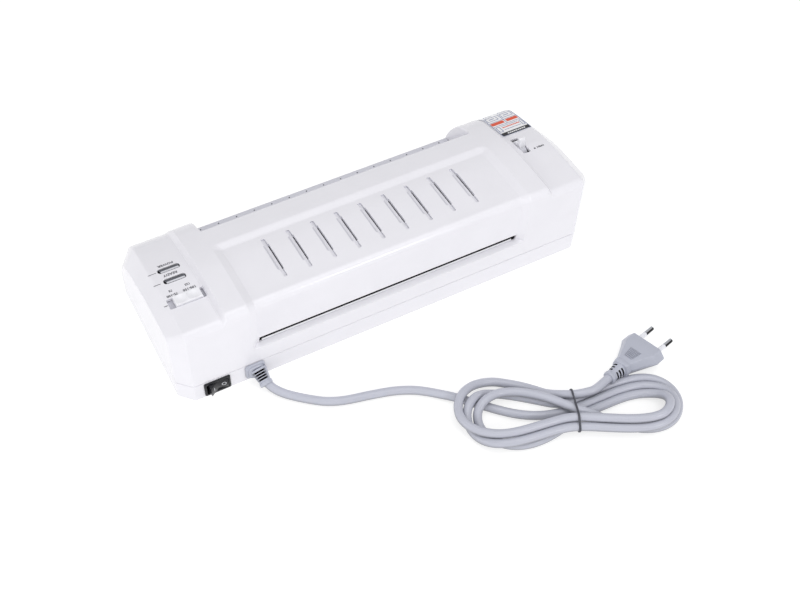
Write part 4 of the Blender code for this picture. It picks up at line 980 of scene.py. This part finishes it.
def cover_cuts():
    """Cutters in three groups that are taken away one after another."""
    cutters = [vent_cutter(run) for run in vent_runs()]
    grooves, ramps = [pair[0] for pair in cutters], [pair[1] for pair in cutters]
    slits = []
    near, far = VENT_WIDE_SPAN
    for run in vent_runs():
        high = run + VENT_RAMP[1] - 0.05
        slits.append(block((high - VENT_SLIT, near + 0.6, 68.0), (high, far - 0.6, 90.0)))
    windows = []
    edge = [(0.0, 9.0), (0.0, 0.5), (0.08, 0.2), (0.35, 0.0), (0.5, -0.08)]
    for depth in LAMP_DEPTHS:
        plan = rounded_rectangle((LAMP_RUN, depth), LAMP_SIZE, 2.2, 6)
        windows.append(pocket(plan, edge, plain_top))
    for runs, depths in (SLIDER_SLOT, LEVER_SLOT):
        middle = (sum(runs) / 2, sum(depths) / 2)
        plan = rounded_rectangle(middle, (runs[1] - runs[0], depths[1] - depths[0]), 0.8, 4)
        windows.append(pocket(plan, [(0.0, 16.0), (0.0, 0.4), (0.06, 0.18), (0.3, 0.0), (0.5, -0.1)],
                              plain_top))
    slot = block((SLOT_SIDE, -2.0, LEDGE_HIGH + 0.02), (LENGTH - SLOT_SIDE, 12.0, SLOT_TOP))
    return grooves, ramps, slits + windows + [slot]


def top_cover(paint):
    """Cover hollowed out, opened at the tray, and cut for vents, lamps, controls and exit slot."""
    mesh = loft([cover_ring(run) for run in cover_runs()])
    middle, ends = cover_void()
    mesh = boolean(mesh, middle)
    mesh = boolean(mesh, ends)
    mesh = boolean(mesh, tray_gap())
    for cutters in cover_cuts():
        mesh = boolean(mesh, joined(cutters))
    # Faces just below the panel top over the vents get the groove grey: painted shade on the vent floors.
    for face in mesh.polygons:
        run, depth, z = unplace(face.center)
        below = panel_top(run, depth) - z
        over_vents = VENT_SPAN[0] <= depth <= VENT_SPAN[1] and end_distance(run) > PANEL_OUTER + PANEL_SLOPE
        face.material_index = 1 if over_vents and 0.3 < below < 2.0 else 0
    piece = add("casing_cover", mesh, paint["casing"], replaces=["top_cover"], sharp=33,
                spare=paint["groove"])
    step = piece.modifiers.new("weights", "WEIGHTED_NORMAL")
    step.keep_sharp = True
    step.weight = 80


def base_plan(shrink):
    """The base's outline, drawn in by a distance."""
    corner = CORNER - shrink * 0.4
    low, high, near, far = shrink, LENGTH - shrink, shrink, DEPTH - shrink
    plan = [(low + corner, near), (high - corner, near), (high, near + corner), (high, far - corner),
            (high - corner, far), (low + corner, far), (low, far - corner), (low, near + corner)]
    return filleted(plan, 1.1, 3)


def corner_places(run, depth):
    """Four named places, drawn in from the corners of the casing."""
    return {f"{side}_{end}": (r, d) for end, r in (("left", run), ("right", LENGTH - run))
            for side, d in (("near", depth), ("far", DEPTH - depth))}


def base_tray(paint):
    """Shallow tub under the cover: bevelled rims, an open top and holes for switch, lead and screws."""
    floor = 1.2
    steps = [(1.5, floor), (0.7, floor + 0.35), (0.2, floor + 0.9), (0.0, floor + 1.6), (0.0, SEAM - 0.9),
             (0.12, SEAM - 0.4), (0.5, SEAM - 0.15)]
    mesh = loft([[(run, depth, z) for run, depth in base_plan(shrink)] for shrink, z in steps])
    mesh = boolean(mesh, prism_z(base_plan(WALL), floor + WALL, SEAM + 10))
    narrow, wide = [], []
    for spot in corner_places(*SCREW_PLACE).values():
        narrow.append(prism_z(rounded_rectangle(spot, (3.6, 3.6), 1.79, 5), 0.0, 10.0))
        wide.append(prism_z(rounded_rectangle(spot, (8.4, 8.4), 4.19, 6), 0.0, floor + 1.5))
    for i in range(4):
        narrow.append(prism_z(rounded_rectangle((150 + 16 * i, 66.5), (2.6, 40), 1.3, 4), 0.0, 10.0))
    mesh = boolean(mesh, joined(narrow))
    mesh = boolean(mesh, joined(wide))
    switch = block((SWITCH_RUN[0] + 1, -1.0, SWITCH_Z[0] + 1), (SWITCH_RUN[1] - 1, 3.5, SWITCH_Z[1] - 1))
    middle = (sum(INLET_RUN) / 2, sum(INLET_Z) / 2)
    lead = block((middle[0] - 5.5, -1.0, middle[1] - 5), (middle[0] + 5.5, 3.5, middle[1] + 5))
    mesh = boolean(mesh, joined([switch, lead]))
    piece = add("casing_base", mesh, paint["casing"], replaces=["base_tray"], sharp=33)
    piece.modifiers.new("weights", "WEIGHTED_NORMAL").keep_sharp = True


def feet_and_screws(paint):
    for name, (run, depth) in corner_places(*FOOT_PLACE).items():
        mesh = turned([(0.0, 4.2), (0.15, 4.7), (0.5, 5.2), (0.9, 5.5)], (run, depth, 0.0), (0, 0, 1), 40)
        add("rubber_foot_" + name, mesh, paint["rubber"], replaces=["foot_" + name])
    a, b = 0.35, 1.7
    corners = [(b, -a), (b, a), (a, a), (a, b), (-a, b), (-a, a), (-b, a), (-b, -a), (-a, -a), (-a, -b),
               (a, -b), (a, -a)]
    steps = ((0.0, 2.4), (0.15, 2.9), (0.5, 3.4), (1.1, 3.4), (1.2, 1.4), (12.2, 1.4), (12.5, 0.9))
    for name, (run, depth) in corner_places(*SCREW_PLACE).items():
        rings = [[(x, y, 1.3 + z) for x, y in circle((run, depth), r, 32)] for z, r in steps]
        cross = prism_z([(run + x, depth + y) for x, y in corners], 0.0, 2.0)
        add("cross_screw_" + name, boolean(loft(rings), cross), paint["steel"],
            replaces=["case_screw_" + name])


def feed_tray(paint):
    """Shelf behind the overhang with a rounded outer lip, guide ribs and size marks."""
    profile = [(93.5, 38.5), (126.6, 38.5), (128.0, 38.42), (129.0, 38.1), (129.8, 37.5), (130.3, 36.6),
               (131.4, 31.5), (132.6, 26.0), (132.7, 24.5), (132.7, 20.3), (130.3, 20.3), (130.3, 25.5),
               (128.2, 36.1), (93.5, 36.1)]
    side = TRAY_SIDE + GAP
    mesh = prism_run(profile, side, LENGTH - side)
    ribs = []
    for i in range(12):
        run = side + 14 + i * (LENGTH - 2 * side - 28) / 11
        rib = [(97.0, 38.4), (99.0, 38.78), (122.0, 38.78), (124.0, 38.4)]
        ribs.append(prism_run(rib, run - 0.5, run + 0.5))
    fence = [(side + 2.2, side + 3.8), (LENGTH - side - 3.8, LENGTH - side - 2.2)]
    for low, high in fence:
        ribs.append(prism_run([(96.0, 38.4), (96.5, 39.3), (124.5, 39.3), (126.0, 38.4)], low, high))
    # The tray's grey is painted shade behind the overhang.
    add("pouch_tray", joined([mesh] + ribs), paint["tray"], replaces=["feed_tray"],
        sharp=30)
    marks = []
    for i in range(15):
        marks.append(turned([(0.0, 0.6), (0.12, 0.55)], (70.3 + 15.7 * i, 126.2, 38.46), (0, 0, 1), 14))
    add("tray_size_dots", joined(marks), paint["print"])


def exit_lip(paint):
    """Bright bar along the slot's foot, and behind it the path plate that the pouch slides over, black as
    painted shade in the slot.
    """
    bar = [(4.75, 38.2), (4.7, 38.35), (4.7, 39.8), (4.8, 39.95), (5.0, 40.0), (5.2, 39.95), (5.3, 39.8),
           (5.3, 38.2)]
    low, high = SLOT_SIDE + 2.4, LENGTH - SLOT_SIDE - 3.6
    plate = [(5.6, 37.4), (5.8, 38.0), (20.5, 39.6), (20.5, 38.8), (7.6, 37.2), (7.4, 30.0), (5.6, 30.0)]
    add("exit_lip", prism_run(bar, low, high), paint["lip"], replaces=["exit_guide"],
        sharp=35)
    # The path plate is black as painted shade behind the slot's lip.
    add("pouch_path_painted_shade", prism_run(plate, SLOT_SIDE + 0.6, LENGTH - SLOT_SIDE - 0.6), paint["dark"],
        sharp=35)
    # A black sheet under the vents: painted shade seen through the slits.
    shade = []
    for depth in (14.0, 66.0):
        shade.append((depth, panel_top(0.0, depth) - 5.2))
    sheet = prism_run(shade + [(d, z - 0.8) for d, z in shade[::-1]], 72.0, LENGTH - 72.0)
    add("painted_shade_under_vents", sheet, paint["dark"], sharp=35)


def on_cover(plan_steps):
    """Solid whose rings are plans laid at heights above the cover's plain top."""
    return loft([[(run, depth, top_height(depth) + rise) for run, depth in plan]
                 for plan, rise in plan_steps])


def lamps(paint):
    """Each window is a black liner that is painted shade, a clear bar along its near side and behind that a
    ribbed dark bar, painted shade of the hole seen through the lens.
    """
    for node, depth in zip(("power_lamp_lens", "ready_lamp_lens"), LAMP_DEPTHS):
        name = node.replace("_lens", "")
        wide, deep = LAMP_SIZE[0] - 0.5, LAMP_SIZE[1] - 0.5
        centre = (LAMP_RUN, depth)
        outside = rounded_rectangle(centre, (wide, deep), 2.0, 6)
        # The liner's black is painted shade round the window.
        liner = on_cover([(outside, -7.0), (outside, -1.3), (grown(outside, -0.3), -1.1)])
        add(name + "_liner", liner, paint["dark"], replaces=[node], sharp=40)
        near = rounded_rectangle((LAMP_RUN + 0.5, depth - 1.15), (wide - 2.2, 1.75), 0.8, 4)
        lens = on_cover([(near, -1.6), (near, -0.65), (grown(near, -0.2), -0.42)])
        add(name + "_lens", lens, paint["lens"], sharp=40)
        # The far bar's dark grey is painted shade: the hole seen through the clear lens.
        far = rounded_rectangle((LAMP_RUN + 0.3, depth + 0.95), (wide - 1.4, 2.15), 0.9, 4)
        shade_bar = [on_cover([(far, -1.6), (far, -0.95), (grown(far, -0.15), -0.8)])]
        for i in range(13):
            run = LAMP_RUN - 6.9 + 1.15 * i
            rib = [(run, depth + 0.1), (run + 0.45, depth + 0.1), (run + 0.95, depth + 1.8),
                   (run + 0.5, depth + 1.8)]
            shade_bar.append(on_cover([(rib, -0.9), (rib, -0.68)]))
        add(name + "_painted_shade", joined(shade_bar), paint["lamp"], sharp=40)


def mode_slider(paint):
    """Cap with two finger scoops and a stem through the floor of its well, which is grey as painted shade."""
    left, right = SLIDER_KNOB
    near, far = SLIDER_SLOT[1][0] + GAP, SLIDER_SLOT[1][1] - GAP
    middle, deck = (left + right) / 2, top_height(sum(SLIDER_SLOT[1]) / 2)
    rows = [(near, -1.0), (near + 0.1, -0.5), (near + 0.4, -0.15), (near + 0.9, 0.0)]
    rows += [(near + 0.9 + (far - near - 1.8) * i / 8, 0.0) for i in range(1, 8)]
    rows += [(far - 0.9, 0.0), (far - 0.4, -0.15), (far - 0.1, -0.5), (far, -1.0)]
    rings = []
    for depth, drop in rows:
        ring = []
        for i in range(57):
            t = i / 56
            end = min(t, 1 - t) * (right - left)
            shoulder = 0.7 - math.sqrt(max(0.49 - (0.7 - min(end, 0.7))**2, 0.0))
            hollow = 0.5 - 0.5 * math.cos(2 * math.pi * abs(2 * t - 1))
            across = math.sin(math.pi * (depth - near) / (far - near))
            wave = 2.3 - 1.15 * hollow * across - 0.25 * across
            ring.append((left + (right - left) * t, depth, deck + wave + drop - shoulder))
        ring += [(right, depth, deck - 3.0), (left, depth, deck - 3.0)]
        rings.append(ring)
    stem = block((middle - 2, near + 1.2, 72.5), (middle + 2, far - 1.2, deck - 2.6))
    line = [(middle, near + 2.2 + (far - near - 4.6) * j / 8, deck + 2.15) for j in range(9)]
    add("slider_cap", joined([loft(rings), stem, tube_mesh(line, 0.28, 8)]), paint["cap"], body="slider",
        replaces=["mode_slider_knob"], sharp=40)
    # The well's floor is grey as painted shade in the recess.
    (low, high), (first, last) = SLIDER_SLOT
    floor = block((low - 0.6, first - 0.6, deck - 4.1), (high + 0.6, last + 0.6, deck - 3.35))
    gap = block((middle - 6.8, first + 1.1, deck - 6.0), (middle + 4.7, last - 1.1, deck - 2.0))
    add("slider_well", boolean(floor, gap), paint["floor"], sharp=35)


def release_lever(paint):
    """Rocking lever: a tall near ear, a low far ear, a saddle between them and a skirt under the slot, grey
    as painted shade.
    """
    pivot = LEVER_PIVOT
    line = [(pivot[0] + 4.5 * math.cos(a), pivot[1] + 4.5 * math.sin(a))
            for a in (math.pi * (1.1 + 0.8 * i / 12) for i in range(13))]
    spots = [(69.4, 70.5), (69.5, 73.2), (69.0, 75.4), (67.9, 77.0), (66.8, 77.9), (65.9, 79.3),
             (64.9, 79.9), (63.7, 79.2), (62.8, 79.8), (62.2, 83.2), (61.8, 85.9), (60.9, 87.2),
             (59.8, 87.0), (58.9, 85.2), (57.9, 81.0), (57.3, 76.0), (57.2, 70.5)]
    line += [(p.x, p.y) for p in smooth_path([(a, b, 0.0) for a, b in spots], 0.5)]
    low, high = LEVER_SLOT[0][0] + 0.5, LEVER_SLOT[0][1] - 0.5
    rings = []
    for run, inset in ((low, 0.5), (low + 0.12, 0.3), (low + 0.35, 0.12), (low + 0.7, 0.0),
                       (high - 0.7, 0.0), (high - 0.35, 0.12), (high - 0.12, 0.3), (high, 0.5)):
        rings.append([(run, d, z) for d, z in grown(line, -inset)])
    mesh = boolean(loft(rings), prism_run(circle(pivot, 1.8, 20), low - 10, high + 10))
    arc = [math.radians(18 + 44 * i / 10) for i in range(11)]
    skirt = [(pivot[0] - r * math.sin(a), pivot[1] + r * math.cos(a))
             for r, order in ((13.0, arc), (11.9, arc[::-1])) for a in order]
    add("pressure_lever", mesh, paint["cap"], body="lever", replaces=["release_lever"],
        sharp=45)
    # The skirt is grey as painted shade under the slot.
    add("lever_skirt", prism_run(skirt, low, high), paint["floor"], body="lever", sharp=45)


def draped(runs, depths, low, high):
    """Thin closed sheet over the cover across some runs, between two depths."""
    count = max(2, round((depths[1] - depths[0]) / 2.0))
    rows = [depths[0] + (depths[1] - depths[0]) * i / count for i in range(count + 1)]
    rings = []
    for run in runs:
        upper = [(run, depth, top_height(depth) + high) for depth in rows]
        lower = [(run, depth, top_height(depth) + low) for depth in reversed(rows)]
        rings.append(upper + lower)
    return loft(rings)


def draped_line(a, b, width, low, high):
    """Thin straight stroke over the cover from one (run, depth) to another."""
    a, b = Vector(a), Vector(b)
    aside = Vector((a.y - b.y, b.x - a.x)).normalized() * (width / 2)
    count = max(1, round((b - a).length / 2.0))
    rings = []
    for i in range(count + 1):
        spot = a.lerp(b, i / count)
        sides = ((spot + aside, low), (spot - aside, low), (spot - aside, high), (spot + aside, high))
        rings.append([(p.x, p.y, top_height(p.y) + rise) for p, rise in sides])
    return loft(rings)


def instruction_label(paint):
    """Printed film over the far slope: a black foot bar, two red bars and plain line drawings."""
    (left, right), (near, far) = LABEL_RUN, LABEL_DEPTH
    runs = [left, left + (right - left) / 3, right - (right - left) / 3, right]
    add("label_film", draped(runs, (near, far), 0.25, 0.55), paint["label"],
        replaces=["instruction_label"], sharp=30)

    def bar(x, y):
        return draped([left + v for v in x], (near + y[0], near + y[1]), 0.56, 0.6)

    add("label_foot_bar", bar((0.5, 9, 18, 27), (0.5, 5.0)), paint["black"], sharp=30)
    red = [bar((1.2, 7, 13.2), (18.6, 22.8)), bar((15.6, 20, 26.2), (18.6, 22.8))]
    red += [bar((6.8 + 1.65 * i, 8.1 + 1.65 * i), (11.4, 12.9)) for i in range(10)]
    add("label_red_bars", joined(red), paint["red"], sharp=30)
    white = [bar((6.0 + 1.9 * i, 7.4 + 1.9 * i), (2.0, 3.5)) for i in range(9)]
    add("label_light_marks", joined([shifted(m, 0.05) for m in white]), paint["label"],
        sharp=30)

    def stroke(points, width=0.5, close=False):
        spots = [(left + x, near + y) for x, y in points]
        if close:
            spots.append(spots[0])
        return [draped_line(a, b, width, 0.56, 0.6) for a, b in zip(spots, spots[1:])]

    lines = stroke([(0.5, 0.5), (27, 0.5), (27, 45), (0.5, 45)], 0.55, True)
    lines += stroke([(0.8, 16.6), (26.8, 16.6)]) + stroke([(0.8, 23.6), (26.8, 23.6)])
    lines += stroke([(14.4, 17.0), (14.4, 44.2)])
    lines += stroke([(1.8, 7.2), (4.8, 7.2), (4.8, 14.8), (1.8, 14.8)], 0.55, True)
    lines += stroke([(24.0, 7.2), (26.0, 7.2), (26.0, 14.8), (24.0, 14.8)], 0.55, True)
    lines += stroke([(6.6, 14.6), (22.6, 14.6)], 0.5) + stroke([(6.6, 8.6), (22.6, 8.6)])
    for x in (1.8, 15.8):
        lines += stroke([(x, 26.4), (x + 9.8, 26.4), (x + 9.8, 32.5), (x, 32.5)], 0.55, True)
        lines += stroke([(x + 1, 35.5), (x + 4.8, 41), (x + 8.6, 35.5)], 0.6, True)
        lines += stroke([(x + 2.4, 29.4), (x + 7.2, 29.4)], 0.9)
    add("label_line_drawing", joined(lines), paint["blue"], sharp=30)


def shifted(mesh, rise):
    mesh.transform(Matrix.Translation((0, 0, rise / 1000)))
    return mesh


def caption(text, run, depth, size):
    """Plain printed figures laid on the cover, upright for somebody at the feed side."""
    data = bpy.data.curves.new("caption", "FONT")
    data.body = text
    data.size = size
    data.resolution_u = 2
    data.extrude = 0.03
    data.offset = size * 0.026
    data.align_x, data.align_y = "CENTER", "CENTER"
    holder = bpy.data.objects.new("caption", data)
    bpy.context.scene.collection.objects.link(holder)
    seen = holder.evaluated_get(bpy.context.evaluated_depsgraph_get())
    mesh = bpy.data.meshes.new_from_object(seen)
    bpy.data.objects.remove(holder, do_unlink=True)
    for vertex in mesh.vertices:
        x, y, z = -vertex.co.x, -vertex.co.y, vertex.co.z
        vertex.co = place(run + x, depth + y, top_height(depth + y) + 0.02 + z)
    return mesh


def printed_marks(paint):
    """Leader lines and plain figures beside the lamps, the slider and the lever, read from behind."""
    strokes = [draped_line(a, b, 0.5, -0.02, 0.06) for a, b in (
        ((9.0, 70.0), (15.5, 70.0)), ((8.9, 56.7), (14.2, 56.7)), ((8.4, 34.0), (11.2, 34.0)))]
    words = [caption(*text) for text in (
        ("POWER", 24.9, 76.2, 3.5), ("READY", 24.4, 63.6, 3.5), ("75", 18.0, 46.6, 2.9),
        ("75-100", 17.8, 42.0, 3.1), ("125", 31.5, 47.0, 2.9), ("100-150", 31.4, 42.4, 3.1))]
    add("print_near_lamps", joined(strokes + words), paint["print"], sharp=30)
    round_dot = rounded_rectangle((335.2, 51.5), (1.6, 1.6), 0.79, 4)
    dot = on_cover([(round_dot, rise) for rise in (-0.02, 0.06)])
    add("print_near_lever", joined([dot, caption("OPEN", 340.7, 51.8, 2.6)]), paint["print"],
        sharp=30)


def rocker_front(t):
    """Hollow front of the rocker, from -1 at its left edge to 1 at its right."""
    return -2.5 - 2.4 * abs(t) ** 1.5


def mains_switch(paint):
    """Black bezel with a stepped rim, and a concave rocker with plain marks."""
    (x0, x1), (z0, z1) = SWITCH_RUN, SWITCH_Z
    middle = ((x0 + x1) / 2, (z0 + z1) / 2)
    wide, high = x1 - x0, z1 - z0
    flange = on_wall(middle, [(depth, wide - 2 * s, high - 2 * s, 1.4) for depth, s in (
        (-0.3, 0.0), (-0.75, 0.0), (-1.1, 0.15), (-1.3, 0.5))], 5)
    body = block((x0 + 1.3, -0.8, z0 + 1.3), (x1 - 1.3, 13.0, z1 - 1.3))
    well = on_wall(middle, [(depth, wide - 4.0 + grow, high - 4.2 + grow, 0.7 + grow / 2) for depth, grow in (
        (-3.0, 0.7), (-1.2, 0.6), (-0.8, 0.0), (11.0, 0.0))], 4)
    mesh = boolean(boolean(flange, body, "UNION"), well)
    add("switch_frame", mesh, paint["switch"], replaces=["switch_bezel"], sharp=40)
    pivot = Vector((middle[0], 1.5, 0))
    half = wide / 2 - 3.1
    front = []
    for i in range(25):
        t = -1 + i / 12
        front.append((half * t, rocker_front(t)))
    back = [(half, 1.0), (half * 0.55, 4.5), (-half * 0.55, 4.5), (-half, 1.0)]
    turn = Matrix.Rotation(ROCKER_TILT, 2)
    line = [turn @ Vector(p) for p in front + back]
    low, high = z0 + 2.4, z1 - 2.4
    rings = []
    for z, inset in ((low, 0.45), (low + 0.12, 0.2), (low + 0.45, 0.0),
                     (high - 0.45, 0.0), (high - 0.12, 0.2), (high, 0.45)):
        rings.append([(pivot.x + p.x, pivot.y + p.y + inset * (1 if p.y < 0 else 0), z) for p in line])
    rocker = loft(rings)
    add("rocker_paddle", rocker, paint["switch"], body="rocker",
        replaces=["switch_rocker"], sharp=42)

    def face(t, z, lift):
        p = turn @ Vector((half * t, rocker_front(t) - lift))
        return (pivot.x + p.x, pivot.y + p.y, z)

    centre = (z0 + z1) / 2
    bar = loft([[face(t, z, lift) for t, z in ((-0.60, centre - 1.9), (-0.53, centre - 1.9),
                                               (-0.53, centre + 1.9), (-0.60, centre + 1.9))]
                for lift in (-0.2, 0.06)])
    ring = []
    for i in range(24):
        a = 2 * math.pi * i / 24
        section = []
        for radius, lift in ((1.75, -0.2), (1.75, 0.06), (1.3, 0.06), (1.3, -0.2)):
            section.append(face(0.58 + radius * math.cos(a) / half, centre + radius * math.sin(a), lift))
        ring.append(section)
    add("rocker_marks", joined([bar, looped(ring)]), paint["mark"], body="rocker",
        sharp=40)


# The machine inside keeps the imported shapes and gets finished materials

INNER = {
    "steel": ("near_stay", "far_stay", "idler_pin", "lever_pin", "left_pressure_spring",
              "right_pressure_spring"),
    "zinc": ("left_side_frame", "right_side_frame", "drive_motor", "mode_switch"),
    "aluminium": ("upper_heater", "lower_heater"),
    "silicone": ("heat_roller_lower", "heat_roller_upper"),
    "rubber": ("exit_roller_lower", "exit_roller_upper"),
    "gear": ("heat_gear_lower", "heat_gear_upper", "idler_gear", "exit_gear_lower", "exit_gear_upper",
             "motor_pinion"),
    "brass": tuple(f"{kind}_bush_{level}_{side}" for kind in ("heat", "exit")
                   for level in ("lower", "upper") for side in ("left", "right")),
    "board": ("control_board",),
    "can": ("thermostat",),
}


def inner_parts(paint):
    """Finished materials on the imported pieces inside."""
    for name, members in INNER.items():
        for member in members:
            mesh = nodes[member].data
            mesh.materials.clear()
            mesh.materials.append(paint[name])


def main():
    build_camera()
    build_studio()
    paint = build_materials()
    cord = mains_cord(paint)
    for build in (cord_exit, cord_tie, plug):
        build(paint)
    for build in (top_cover, base_tray, feet_and_screws, feed_tray, exit_lip, lamps, mode_slider,
                  release_lever, instruction_label, printed_marks, mains_switch, inner_parts):
        build(paint)


main()
